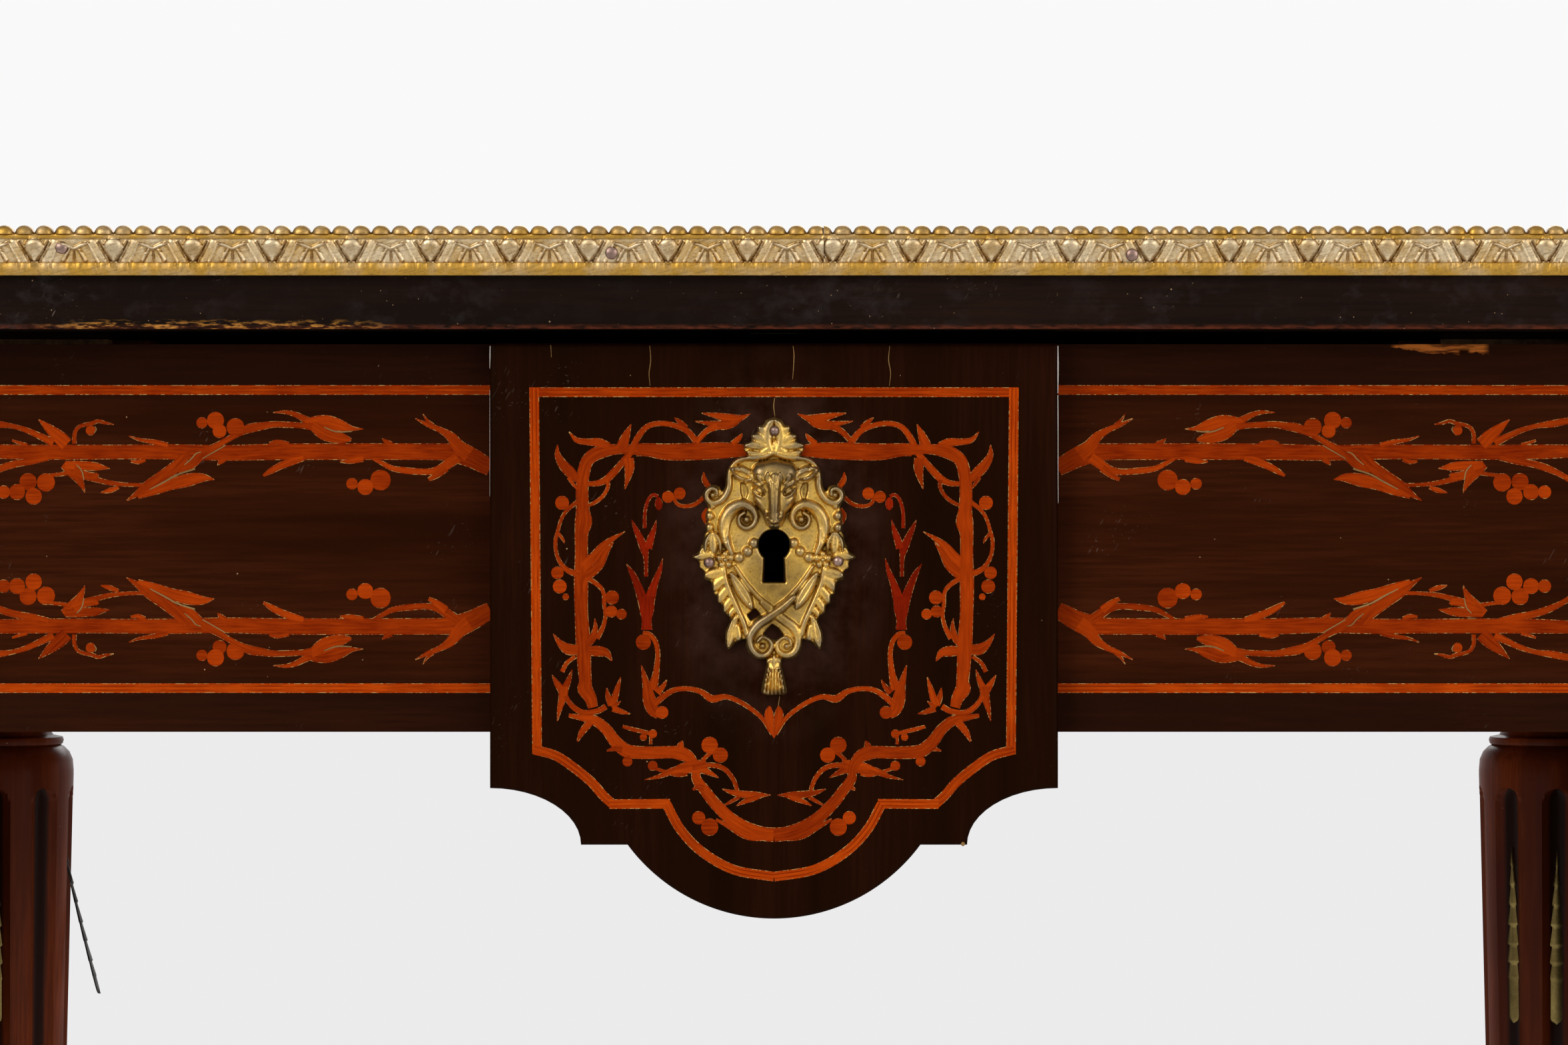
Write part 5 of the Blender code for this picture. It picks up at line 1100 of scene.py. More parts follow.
# %% [markdown]
# The frieze on each side of the plaque is framed by two lines of stringing and crossed by two stout
# branches. They spring like roots from behind the plaque. The lower branch mirrors the upper one, and the
# right panel mirrors the left, so one branch is drawn, from the plaque outwards, until it thins out at
# the end of the frieze.
# %% Branches of the frieze
FRIEZE_MIRROR = 117.6
VEIN_LIFT = 0.00008
FRIEZE_BRANCHES = [
    ((-85.6, 37.3, 5), (-88.5, 35.8, 5.6), (-91, 34.4, 6), (-95, 33, 6.2), (-100, 32.5, 5.1),
     (-115, 32.4, 5), (-135, 32.4, 5), (-152, 32.5, 4.9), (-166, 32.8, 4.7), (-180, 32.5, 4.6),
     (-195, 32.5, 4.4), (-215, 32.6, 4.5), (-234, 32.4, 4.3), (-246, 31.8, 3), (-258, 30, 0.6)),
    ((-108.3, 22.4, 0.3), (-104.5, 24.3, 1.4), (-100.5, 26, 1.9), (-97.5, 28, 3), (-95, 31, 4),
     (-92, 33.2, 5)),
    ((-106, 21, 0.2), (-104.8, 22.9, 0.9), (-103, 24.4, 1.2)),
    ((-121, 34.6, 0.8), (-118.5, 35.8, 1.4), (-115, 37.5, 1.7), (-110, 38.2, 2), (-105, 38.5, 1.9),
     (-101.5, 38, 2.6), (-98.5, 36.2, 3), (-95.5, 34.2, 3)),
    ((-104.3, 40.8, 1.2), (-102, 39.6, 1.9), (-99, 37.4, 2.4)),
    ((-118.3, 28.4, 0.2), (-117.2, 29.4, 1.4), (-115.5, 30.2, 1.8)),
    ((-131, 35.4, 0.6), (-128, 35.3, 1.6), (-124, 34.7, 1.6)),
    ((-151.2, 20.6, 0.3), (-147.5, 20.5, 1.2), (-144.5, 21.2, 1.7), (-141.5, 22.7, 2.2),
     (-138.5, 24.2, 3)),
    ((-124, 25.6, 0.2), (-127.5, 25.4, 1.6), (-131, 24.5, 3.5), (-135, 23.4, 4), (-139, 23.6, 3.6),
     (-141.5, 24, 2)),
    ((-139.8, 24.2, 2.5), (-136, 26.6, 4.4), (-132, 28, 3.8), (-129, 28.6, 2.2), (-127.6, 28.8, 0.8)),
    ((-139.5, 24.9, 2.2), (-143, 24.5, 1.8), (-147, 24.3, 1.9), (-151, 24.2, 2), (-154.5, 24.7, 2.4),
     (-158, 25.3, 2.8), (-161, 26.5, 2.2), (-164, 28.2, 1.8), (-168, 30.5, 2), (-172, 32.7, 2.6),
     (-176, 36.2, 3), (-180, 38, 3)),
    ((-154.2, 39.7, 0.8), (-152, 38.3, 1.8), (-149, 36.7, 2.2), (-145.5, 35.4, 2.2), (-142, 34.5, 1.5)),
    ((-152.4, 29.9, 0.8), (-150, 29.5, 1.4), (-146.5, 30, 1.2)),
    ((-176.3, 32.5, 0.4), (-178.5, 34.8, 2.8), (-181, 37.2, 3.6), (-185, 40, 3.4), (-189, 42.7, 3.2),
     (-192.5, 45.3, 1.8), (-195.5, 47.2, 0.3)),
    ((-169, 40.8, 0.3), (-172.5, 40.3, 2.6), (-177, 41, 4), (-182, 42.3, 3.4), (-187, 44.2, 2.6),
     (-192, 46.1, 1.2)),
    ((-168, 36.5, 0.2), (-167.2, 35.6, 1.4), (-165.8, 34.7, 1.5)),
    ((-194.7, 27.7, 0.4), (-191.5, 28.8, 1), (-187, 29.5, 1.5), (-183, 30.4, 1.4)),
    ((-194.2, 35.3, 0.8), (-192, 35.5, 1.4), (-189.8, 34.8, 1.2)),
    ((-190, 42.5, 1.2), (-195, 42.4, 1.2), (-200, 41.9, 1.5), (-204, 41, 1.7), (-208, 39.9, 2)),
    ((-203.2, 44.8, 0.4), (-200.5, 44.1, 1.6), (-197.8, 43.2, 1)),
    ((-214.5, 36.2, 2.6), (-212, 38.2, 3.6), (-209.8, 40.9, 2.6), (-208.4, 43.7, 0.9),
     (-208.1, 44.8, 0.2)),
    ((-214, 36.3, 2.2), (-209.5, 36.6, 2.8), (-205, 36.9, 2.6), (-202.5, 37.2, 1.4), (-200.5, 37.5, 0.2)),
    ((-211.5, 38.2, 3), (-208, 39.5, 2.6), (-205, 39.7, 2), (-204.2, 39, 1)),
    ((-213.5, 38.9, 1.4), (-216, 39.3, 1.2), (-219.5, 39.6, 1)),
    ((-222, 22.7, 0.3), (-219, 25.3, 2.6), (-215.8, 28, 4), (-213.5, 30.2, 4)),
    ((-249, 25, 0.3), (-244, 23.6, 1.4), (-240, 23.1, 2), (-235, 24, 2.2), (-230, 24.7, 1.5),
     (-225.5, 26, 1.7), (-221.5, 27.8, 2), (-217.5, 29.7, 2.6)),
    ((-211.2, 30, 1.4), (-211.2, 27.3, 1.3), (-210.3, 25.3, 1.2), (-208.5, 24.4, 1.2), (-206, 23.9, 1.3),
     (-204, 23.2, 1.2), (-202, 23.7, 1), (-199.3, 24.2, 0.3)),
    ((-230, 29, 0.7), (-228, 29.7, 1), (-225.5, 30.3, 1)),
    ((-219, 34.3, 1.5), (-224, 35.3, 2), (-229, 36.1, 2.2), (-233.5, 37.5, 2.2), (-238, 39.6, 1.7),
     (-242, 42, 1.8), (-245, 44.6, 0.3)),
    ((-239, 40, 1), (-243.5, 40, 1.8), (-248, 38.4, 0.3)),
    ((-250, 31.4, 1.6), (-253.5, 34.2, 1.8), (-258.5, 35.6, 0.3)),
]
FRIEZE_BERRIES = (
    (-118.8, 41, 3.1), (-123.4, 43.1, 2.4), (-127.4, 42.1, 1.75), (-172.7, 23.7, 1.7), (-168.6, 23, 2.6),
    (-162.6, 25, 2.7), (-167.4, 26.2, 2.1), (-219.8, 41.7, 2.75), (-225.2, 41.5, 2.6),
    (-223.5, 45.9, 2.5), (-228.5, 44.6, 2.4), (-232.6, 44.6, 2), (-206.3, 26, 1.5),
)
FRIEZE_VEINS = [
    ((-174.8, 37.6, 0.5), (-180, 39.3, 0.5), (-184, 41.5, 0.5), (-188.4, 43.8, 0.3)),
    ((-178, 36.4, 0.25), (-176, 34.7, 0.35), (-174.5, 33, 0.35), (-173, 32.5, 0.25)),
    ((-172.5, 34.5, 0.3), (-168, 31.9, 0.35), (-165.6, 30.5, 0.3)),
    ((-210.5, 36.4, 0.3), (-209, 38.2, 0.4), (-208.3, 41, 0.3)),
    ((-135.8, 25.1, 0.3), (-132, 26.4, 0.45), (-127.5, 26.3, 0.35)),
    ((-205, 24.8, 0.2), (-204.6, 25.7, 0.35), (-205.2, 26.8, 0.2)),
]
STRING_DROPS = (13.8, 103.8)
STRING_START, STRING_END = -85.5, -258.0
FRIEZE_STRINGS = [((STRING_START, drop), (STRING_END - STRING / 2, drop)) for drop in STRING_DROPS]
FRIEZE_STRINGS.append([(STRING_END, drop) for drop in STRING_DROPS])


def both_rows(branches):
    """A row of branches and the same rows turned over for the lower half of the frieze."""
    upper = [np.array(rows) for rows in branches]
    return upper + [rows * (1, -1, 1) + (0, FRIEZE_MIRROR, 0) for rows in upper]


def frieze_inlay(name, branches, material, face=FRIEZE_FACE):
    """A drawing let into the left half of the frieze, and its mirror image into the right half."""
    for side, rows in (("left", branches), ("right", mirrored(branches))):
        shells = inlay_shells(rows, on_front(face, DRAWER_TOP))
        make_piece(f"{name}_{side}", shells, material, "drawer")


stems_and_berries = FRIEZE_BRANCHES + [berry(*one) for one in FRIEZE_BERRIES]
frieze_inlay("frieze_branches", both_rows(stems_and_berries), orange_inlay)
frieze_inlay("frieze_veins", both_rows(FRIEZE_VEINS), filler_line, FRIEZE_FACE - VEIN_LIFT)
frieze_inlay("frieze_stringing", strings(FRIEZE_STRINGS), stringing_inlay)

# %% [markdown]
# Age shows on the plaque: the veneer has cracked along its grain, and pale dust and glue fill the cracks.
# They are drawn as hair-thin strips, with a small chip near the lower corner. The upper parts of its two
# upright arrises carry pale lines: a painted highlight where the arris catches the light, partly real
# rubbing.
# %% Cracks in the plaque
PLAQUE_CRACKS = [
    ((-37.3, 0.8, 0.15), (-37, 5, 0.25), (-37.5, 9, 0.2), (-37.2, 12.8, 0.1)),
    ((5.7, 0.8, 0.15), (6, 4, 0.25), (5.6, 10.8, 0.1)),
    ((34.7, 0.8, 0.15), (34.4, 5, 0.25), (35, 9, 0.2), (34.6, 12.8, 0.1)),
    ((-67, 0.6, 0.15), (-66.8, 4.2, 0.1)),
    ((0.2, 16.4, 0.15), (-0.1, 19, 0.3), (0.3, 22, 0.15)),
    ((1.7, 106, 0.2), (1.4, 108, 0.25), (1.1, 111, 0.15)),
    berry(56.7, 150.3, 0.6),
]
ARRIS_HIGHLIGHT_LINES = [
    ((-85.2, 0.8, 0.3), (-85.25, 4, 0.35), (-85.3, 7.6, 0.12)),
    ((-85.3, 14, 0.06), (-85.3, 30, 0.1), (-85.3, 46, 0.06)),
    ((85.2, 0.8, 0.35), (85.25, 8, 0.4), (85.2, 15, 0.2)),
    ((85.2, 15.6, 0.2), (85.25, 26, 0.22), (85.25, 38, 0.15), (85.3, 48, 0.1)),
]
on_plaque = on_front(PLAQUE_FACE, DRAWER_TOP)
cracks = inlay_shells(PLAQUE_CRACKS, on_plaque)
make_piece("plaque_cracks", cracks, filler_line, "drawer")
# Painted highlight, partly real rubbing, on the upper parts of the upright arrises.
rubbed = inlay_shells(ARRIS_HIGHLIGHT_LINES, on_plaque)
make_piece("plaque_arris_highlights", rubbed, rubbed_arris_highlight, "drawer")

# %% [markdown]
# The escutcheon is one cast and chased plate of gilt bronze: a leafy crest over a ram's head, scrolls,
# strings of beads, two sprays of leaves and a tassel. It is a field of heights over a fine square grid. A
# closed line gives the outline, and further lines give the keyhole and the sawn openings.
# %% Escutcheon: outline and openings
KEYHOLE_FLARE = 0.4
EDGE_STEP = 0.5
# Right half of the outline from the crest down to the tassel, in millimetres from the round of the keyhole.
PLATE_EDGE = (
    (0, 38.4), (2.3, 37.5), (3.3, 36.2), (4.9, 35.7), (5.1, 34), (6.9, 32.9), (6.9, 31.3), (9.1, 30.2),
    (8.9, 28.1), (7.9, 26.8), (9.9, 26.5), (12.1, 25.3), (13.8, 23), (14.4, 20), (14.7, 17.6),
    (15.6, 16.4), (16.3, 17.5), (17.9, 18.1), (19.8, 17.6), (21.2, 16), (21.3, 14), (20.2, 12.3),
    (19.9, 11), (20.5, 9.7), (20.5, 8), (20, 7.1), (20.6, 6.1), (20.4, 4.2), (20.9, 3), (21.2, 1.2),
    (22, -0.3), (22.5, -1.8), (24.5, -3.5), (22.6, -5), (22.4, -6.7), (21.1, -7.8), (20.9, -10),
    (19, -11), (18.5, -12.6), (18.1, -14.5), (17.1, -15.4), (16.9, -17.1), (15.6, -18.2), (15.2, -20.1),
    (13.7, -21.3), (13.1, -22.5), (13.7, -24), (14.5, -26), (14.6, -28.6), (13.8, -31.1), (12.4, -30.2),
    (11.2, -29), (9.6, -28.5), (8.5, -28.3), (8.4, -30.4), (7.4, -32.6), (5.6, -34), (3.4, -34.3),
    (2.5, -34), (2.4, -35), (2.3, -36), (2.7, -38), (3.3, -40.5), (3.8, -43), (3.7, -44.2), (2.6, -44.9),
    (0, -45),
)
OPENINGS = (
    ((-8, -20.9), (-5.7, -19.1), (-4.2, -20.8), (-6.9, -22.5)),
    ((-3.1, -26.5), (-0.6, -23.8), (1.4, -25.2), (2.8, -27), (0.7, -28.4), (-1.4, -27.7)),
)


def inside_by(x, z, loop):
    """How far each place lies inside a closed line: its least distance to the line, below nothing outside."""
    after = np.roll(loop, -1, axis=0)
    way = after - loop
    found = []
    for part in np.array_split(np.stack([x.ravel(), z.ravel()], 1), 40):
        off = part[:, None] - loop
        share = np.clip((off * way).sum(-1) / np.maximum((way**2).sum(-1), 1e-12), 0, 1)
        near = np.linalg.norm(off - share[..., None] * way, axis=-1).min(1)
        crosses = (loop[:, 1] > part[:, 1:]) != (after[:, 1] > part[:, 1:])
        at = loop[:, 0] + (part[:, 1:] - loop[:, 1]) * way[:, 0] / np.where(way[:, 1] == 0, 1, way[:, 1])
        odd = (crosses & (part[:, :1] < at)).sum(1) % 2
        found.append(np.where(odd == 1, near, -near))
    return np.concatenate(found).reshape(x.shape)


def plate_loop():
    """The smoothed right half of the outline and its mirror image."""
    half = smooth_path(np.array([(*place, 0) for place in PLATE_EDGE]), EDGE_STEP)[:, :2]
    return np.concatenate([half, (half * (-1, 1))[-2:0:-1]])


def keyhole_line():
    """The round of the keyhole above and the slot below, which flares a little towards its foot."""
    meet = np.arcsin(SLOT_HALF / KEYHOLE_ROUND)
    a = np.linspace(-np.pi / 2 + meet, 1.5 * np.pi - meet, 60)
    foot = SLOT_HALF + KEYHOLE_FLARE
    slot = [(-foot, -SLOT_FOOT), (foot, -SLOT_FOOT)]
    return np.concatenate([KEYHOLE_ROUND * np.stack([np.cos(a), np.sin(a)], 1), slot])


def plate_inside(x, z):
    """Distance inside the metal: inside the outline and outside every opening."""
    field = np.minimum(inside_by(x, z, plate_loop()), -inside_by(x, z, keyhole_line()))
    for corners in OPENINGS:
        field = np.minimum(field, -inside_by(x, z, np.array(corners)))
    return field


print("outline points of the plate:", len(plate_loop()))

# %% [markdown]
# The ornament is listed as strokes in relief, each with its rise and its rows of across, up and width.
# First come the broad forms of the ram's head, then the finer strokes that are added on top, mostly
# mirrored.
# %% Escutcheon: mirrored ornament
def bead(rise, x, z, radius):
    """A dome over a circle."""
    return rise, ((x - 0.01, z, 2 * radius), (x + 0.01, z, 2 * radius))


HEAD_FORMS = [
    (4.6, ((-3.4, 21.4, 7.2), (0.2, 21.7, 8), (3.8, 21.4, 7.2))),
    (4.2, ((0.2, 19.4, 12.6), (0.2, 17.4, 13.6), (0.2, 15.2, 12.8), (0.2, 13, 10), (0.2, 11, 7.4),
           (0.2, 9, 6.6), (0.2, 7.8, 5.6))),
    (5.6, ((0.2, 20.4, 5), (0.2, 18, 5.4), (0.2, 15, 5.2), (0.2, 12, 4.8), (0.2, 9.6, 5), (0.2, 8, 5))),
    (2.6, ((-6.6, 20.4, 2.6), (-8.6, 21.1, 4), (-10.6, 21.9, 3.8), (-12.2, 22.6, 1.6))),
    (2.6, ((7, 20.6, 2.6), (9, 21.3, 4), (11, 21.9, 3.8), (12.6, 22.4, 1.6))),
]
MIRRORED_STROKES = [
    # crest of leaves
    (1.2, ((-0.9, 28, 2), (-2, 31, 3), (-2, 34, 3), (-1.2, 36.4, 2.4), (-0.4, 37.4, 1))),
    (1.0, ((-1.5, 32.5, 2.4), (-3, 34, 2.8), (-4.4, 35.2, 1.4))),
    (1.1, ((-2.5, 31, 2.6), (-4.6, 32.2, 2.6), (-6.4, 32.8, 1.2))),
    (1.3, ((-2.2, 29, 3), (-4.8, 29.6, 3.2), (-7.4, 30.1, 2.4), (-8.6, 29.8, 1))),
    (1.0, ((-2.5, 27.6, 2.4), (-5, 27.4, 2.6), (-7.6, 27.8, 1.4))),
    # shoulder band and its volute
    (1.5, ((0, 27.7, 1.4), (-2.6, 26.6, 1.7), (-5.6, 26.2, 1.9), (-8.6, 26.2, 1.9), (-11.2, 25.2, 2.1),
           (-13, 23.2, 2.2), (-13.5, 20.6, 2.2), (-13.4, 18, 2.2), (-14.2, 15.4, 2.2), (-16, 13.3, 2.1),
           (-18.4, 12.6, 2.1), (-20.1, 13.9, 1.9), (-20.1, 15.8, 1.8), (-18.7, 17, 1.6),
           (-17.3, 16.5, 1.3), (-17.1, 15.2, 1.2))),
    bead(1.7, -18.3, 15, 0.85),
    # rims of the ear, locks, brow, eye, lower lid, cheek, bridge of the nose and nostril of the ram
    (0.7, ((-12.4, 22.4, 0.7), (-11.2, 20.3, 1.1), (-9, 18.9, 1.1), (-7, 19.3, 0.8))),
    (0.7, ((-12.4, 22.9, 0.7), (-9.9, 23.5, 1.2), (-7.2, 22.3, 0.9))),
    (0.9, ((-4.9, 20.9, 0.9), (-4.6, 19.9, 1.7), (-3.9, 18.9, 1.3), (-3.1, 18.3, 0.7))),
    (0.9, ((-1.8, 21.4, 0.9), (-2.0, 20.1, 1.7), (-1.6, 18.5, 1.5), (-1.1, 17, 0.9))),
    (1.0, ((-6.7, 19.2, 0.8), (-5.5, 18.5, 1.3), (-4.0, 17.4, 1.3), (-2.8, 16.0, 0.8))),
    (1.1, ((-5.4, 16.7, 0.7), (-4.6, 16.3, 1.5), (-3.7, 15.6, 0.7))),
    (0.7, ((-6.2, 16.9, 0.6), (-5.4, 15.2, 0.9), (-3.8, 14.3, 0.8))),
    (0.4, ((-5.8, 14.2, 0.7), (-4.8, 13.0, 1.2), (-3.8, 12.2, 0.7))),
    (0.6, ((-1.0, 18.2, 1.1), (-1.0, 15.5, 1.5), (-0.9, 12.5, 1.3), (-0.7, 10.2, 0.9))),
    (0.8, ((-2.5, 10, 0.8), (-2.4, 8.6, 1.4), (-1.5, 7.2, 1.3), (-0.4, 6.7, 0.9))),
    # inner scroll
    (2.2, ((-12.6, -2.6, 1.6), (-14.2, 1, 2.8), (-15, 4.6, 3.6), (-14.4, 8.2, 4), (-12.2, 11, 3.8),
           (-9.2, 12.1, 3.2), (-6.5, 10.9, 2.4), (-5.4, 8.3, 2), (-6.4, 5.9, 1.8), (-8.5, 5.1, 1.7),
           (-10.3, 6.3, 1.5), (-10.4, 8.4, 1.4), (-8.9, 9.7, 1.3))),
    bead(2.2, -8.2, 7.7, 1.1),
    # beads, bud, flower and the outer tip
    bead(1.2, -18.4, 11.6, 0.9), bead(1.7, -19.2, 8.8, 1.4), bead(1.7, -19.3, 5.3, 1.4),
    bead(1.8, -6.0, 0.6, 1.6), bead(1.8, -7.9, -1.9, 1.65), bead(1.8, -10.5, -3.7, 1.7),
    (1.9, ((-18.3, 3.6, 1.4), (-18.4, 1.7, 3.4), (-18.3, -0.4, 3.4), (-18, -1.8, 1.6))),
    (2.2, ((-20.6, -1.8, 0.8), (-20.3, 1, 1.5), (-19, 3.6, 0.8))),
    (2.2, ((-16, -1.8, 0.8), (-16.3, 1, 1.5), (-17.6, 3.6, 0.8))),
    bead(2.3, -14.6, -4.4, 0.95),
    (1.4, ((-19, -3, 3), (-21.4, -3.2, 2.8), (-23.2, -3.6, 1.6), (-24.2, -3.5, 0.6))),
    (1.0, ((-19.6, -0.8, 1.6), (-21.6, -1.4, 1.4), (-22.2, -2.4, 0.8))),
    # ribbon edge and spray of leaves
    (1.2, ((-11.6, -6.4, 1.1), (-9.6, -9.6, 1.4), (-7.2, -12.8, 1.5), (-4, -16.2, 1.6),
           (-1, -18.4, 1.6))),
    (1.5, ((-15, -7, 1.6), (-14.4, -11, 1.9), (-12.6, -15.6, 1.9), (-10.6, -20, 1.9), (-9, -23.6, 1.9),
           (-8.2, -26.6, 1.9))),
    (1.4, ((-15.5, -8, 3), (-18, -8.6, 3.6), (-20.4, -9, 1.8))),
    (1.3, ((-15, -10, 3), (-17.2, -11.8, 3.2), (-18.4, -13.4, 1.6))),
    (1.2, ((-14, -13, 2.8), (-16, -15.6, 3), (-16.8, -17.2, 1.4))),
    (1.2, ((-12.8, -16.2, 2.6), (-14.4, -18.4, 2.6), (-15, -20, 1.3))),
    (1.0, ((-11.6, -18.8, 2.2), (-13, -20.4, 1.8), (-13.4, -21.6, 0.8))),
    (1.5, ((-11.4, -21.6, 1.6), (-12.4, -24.4, 3), (-13.2, -27.6, 3.2), (-13.8, -30.6, 1))),
    (1.2, ((-11, -24.6, 2), (-10.7, -27.2, 2.4), (-10.4, -28.8, 1.2))),
    (2.0, ((-12.8, -8.6, 1.4), (-10.8, -11.8, 3.4), (-8.8, -15, 3.8), (-7.3, -17.6, 2.6),
           (-6.6, -19, 0.8))),
    # tassel
    (1.5, ((-2.3, -35, 1.4), (-1, -34.4, 2), (0, -34.2, 2.2))),
]
# Each flower has five petals, a fifth of a turn apart.
FLOWER_X, FLOWER_Z = -14.6, -4.4
PETAL_RISE, PETAL_REACH, PETAL_RADIUS = 1.8, 1.75, 1.15
for turn in np.arange(5) * 0.4 * np.pi:
    petal_x = FLOWER_X + PETAL_REACH * math.sin(turn)
    petal_z = FLOWER_Z + PETAL_REACH * math.cos(turn)
    MIRRORED_STROKES.append(bead(PETAL_RISE, petal_x, petal_z, PETAL_RADIUS))
print("forms of the head:", len(HEAD_FORMS), "and mirrored strokes:", len(MIRRORED_STROKES))

# %% [markdown]
# The ribbons below the keyhole are not mirrored: the one from the right passes over the one from the
# left, and each ends in a volute. A few strokes cut in instead: the hollows of the ears, the veins and
# the channel of the scrolls. Brown stain stays in the stippled cheeks and on the shield below the
# keyhole.
# %% Escutcheon: middle and cut ornament
CENTRE_STROKES = [
    (1.0, ((0, 31.6, 0.6), (0, 29.6, 1.3), (0, 27.6, 2.2))),
    (0.5, ((-1.5, 5.9, 0.8), (0.1, 5.5, 1.2), (1.7, 5.9, 0.8))),
    (1.3, ((-3.4, -17.2, 2.2), (0, -20.2, 2.8), (3.2, -22.6, 3), (6.2, -25, 3), (7.3, -28.4, 2.6),
           (6.2, -31.8, 2.3), (3.7, -33, 2.1), (1.3, -31.8, 1.8), (0.9, -29.4, 1.6), (2.5, -27.7, 1.4),
           (4.6, -28.3, 1.2), (5.1, -30, 1.1))),
    bead(1.6, 3.8, -30.3, 0.9),
    (2.3, ((6, -15.6, 2.2), (2.4, -18.8, 2.8), (-1.6, -21.6, 3), (-5, -24, 3), (-7.2, -27.4, 2.7),
           (-6.7, -30.9, 2.4), (-4.5, -33, 2.2), (-2, -32.6, 1.9), (-0.7, -30.4, 1.7), (-1.4, -28.3, 1.5),
           (-3.4, -27.5, 1.3), (-4.9, -28.8, 1.2))),
    bead(2.2, -3.4, -30.2, 0.9),
    (1.6, ((0, -36.6, 4.4), (0, -39, 5.2), (0, -41.4, 6.2), (0, -42, 6.6))),
    (1.9, ((0, -33, 0.8), (0, -34.6, 2), (0, -36, 1.4))),
]
for t in np.linspace(-1, 1, 6):
    rib = ((1.7 * t, -36.8, 0.8), (2.3 * t, -40, 1.05), (2.9 * t, -44, 1.2), (2.9 * t, -44.5, 0.9))
    CENTRE_STROKES.append((2.1, rib))
CHEEK_HOLLOW = (0.8, ((-9.4, 18, 1.8), (-8.9, 16.2, 2.6), (-8.9, 14.4, 1.6)))
SHIELD_STAIN = (0.36, ((0, -11, 20), (0, -17, 16), (0, -24, 7)))
CUT_STROKES = [
    (1.3, ((-7.6, 20.4, 1), (-9.4, 21.1, 1.9), (-11.6, 22, 0.8))),
    (0.5, ((-14.4, 1.2, 0.8), (-14.6, 4.6, 1.6), (-13.6, 7.8, 1.8), (-11.8, 9.9, 1.7), (-9.2, 11, 1.2))),
    (0.4, ((-12.2, -9.6, 0.7), (-9.8, -13.4, 1.3), (-7.4, -17.4, 0.7))),
    (0.4, ((-12.2, -23, 0.7), (-13, -27, 1.3), (-13.7, -30, 0.7))),
    CHEEK_HOLLOW,
    (0.4, ((-6.8, 28.6, 0.7), (-4.4, 28.4, 1.1), (-2.4, 29.2, 0.7))),
    (1.0, ((-6.2, 17.6, 1), (-4.7, 16.6, 2.4), (-3.2, 15.3, 1.2))),
    (0.6, ((-1.9, 9, 0.4), (-1.7, 8.4, 0.8), (-1.1, 7.9, 0.4))),
    (0.5, ((-1.3, 6.5, 0.3), (-0.6, 6.2, 0.5), (0.1, 6.1, 0.5))),
]


def both_sides(strokes):
    """Strokes and the same strokes mirrored on the middle of the plate."""
    return strokes + [(rise, np.array(rows, float) * (-1, 1, 1)) for rise, rows in strokes]


PLATE_STROKES = both_sides(MIRRORED_STROKES) + CENTRE_STROKES
print("strokes of the ornament:", len(PLATE_STROKES))

# %% [markdown]
# Now the grid is cut to the lines. Cells whose corners lie inside on the whole are kept, and the points
# on their rim are moved on to the line. The plate thins in a round towards its rim, and the strokes stand
# on it. As on the moulding, a point's height over its blurred surroundings says how worn and how deep it
# is.
# %% Escutcheon: heights of the plate
PLATE_STEP, STROKE_STEP = 0.28, 0.25
PLATE_REACH = (26.0, -46.0, 39.6)
PLATE_THICK, RIM_THICK, RIM_ROUND = 1.6, 0.7, 0.9
RIM_MOVE = 0.7 * PLATE_STEP
PLATE_BLUR = 5
HEAD_STAIN, STIPPLE_STAIN = 0.5, 0.85


def plate_grid():
    """Places of the grid, with the rim moved on to the lines, distance inside, and what is kept of it."""
    across, low, high = PLATE_REACH
    x, z = np.arange(-across, across, PLATE_STEP), np.arange(low, high, PLATE_STEP)
    x, z = np.meshgrid(x, z, indexing="ij")
    field = plate_inside(x, z)
    cells = (field[:-1, :-1] + field[1:, :-1] + field[:-1, 1:] + field[1:, 1:]) > 0
    around = np.pad(cells, 1)
    met = [around[i:i + x.shape[0], j:j + x.shape[1]] for i in (0, 1) for j in (0, 1)]
    used = np.logical_or.reduce(met)
    rim = used & ~np.logical_and.reduce(met)
    slope_x, slope_z = np.gradient(field, PLATE_STEP)
    steep = np.maximum(np.hypot(slope_x, slope_z), 0.3)
    move = np.where(rim, np.clip(-field, -RIM_MOVE, RIM_MOVE), 0) / steep**2
    inside = np.where(rim, 0, np.maximum(field, 0))
    return x + move * slope_x, z + move * slope_z, inside, cells, used, rim


def plate_heights(x, z, inside, used, rim):
    """A round rim, the raised strokes less those that are cut, and the marks that follow from them."""
    round_edge = np.clip(inside / RIM_ROUND, 0, 1)
    height = RIM_THICK + (PLATE_THICK - RIM_THICK) * np.sqrt(1 - (1 - round_edge) ** 2)
    raised = relief(x, z, HEAD_FORMS, STROKE_STEP) + relief(x, z, PLATE_STROKES, STROKE_STEP)
    height = height + (raised - relief(x, z, both_sides(CUT_STROKES), STROKE_STEP)) * ~rim
    lift = height - blurred(np.where(used, height, RIM_THICK), PLATE_BLUR)
    brown = np.clip((relief(x, z, HEAD_FORMS[:3], STROKE_STEP) - 2.2) / 2, 0, HEAD_STAIN)
    stippled = relief(x, z, [*both_sides([CHEEK_HOLLOW]), SHIELD_STAIN], STROKE_STEP)
    brown = np.maximum(brown, np.clip(2 * stippled, 0, STIPPLE_STAIN))
    worn = np.clip(0.25 + 0.7 * lift + 0.12 * (height - PLATE_THICK), 0, 1)
    deep = np.maximum(np.clip(-0.8 * lift - 0.15, 0, 0.9), brown)
    return height, worn, deep


print("the grid has a point every", PLATE_STEP, "mm")

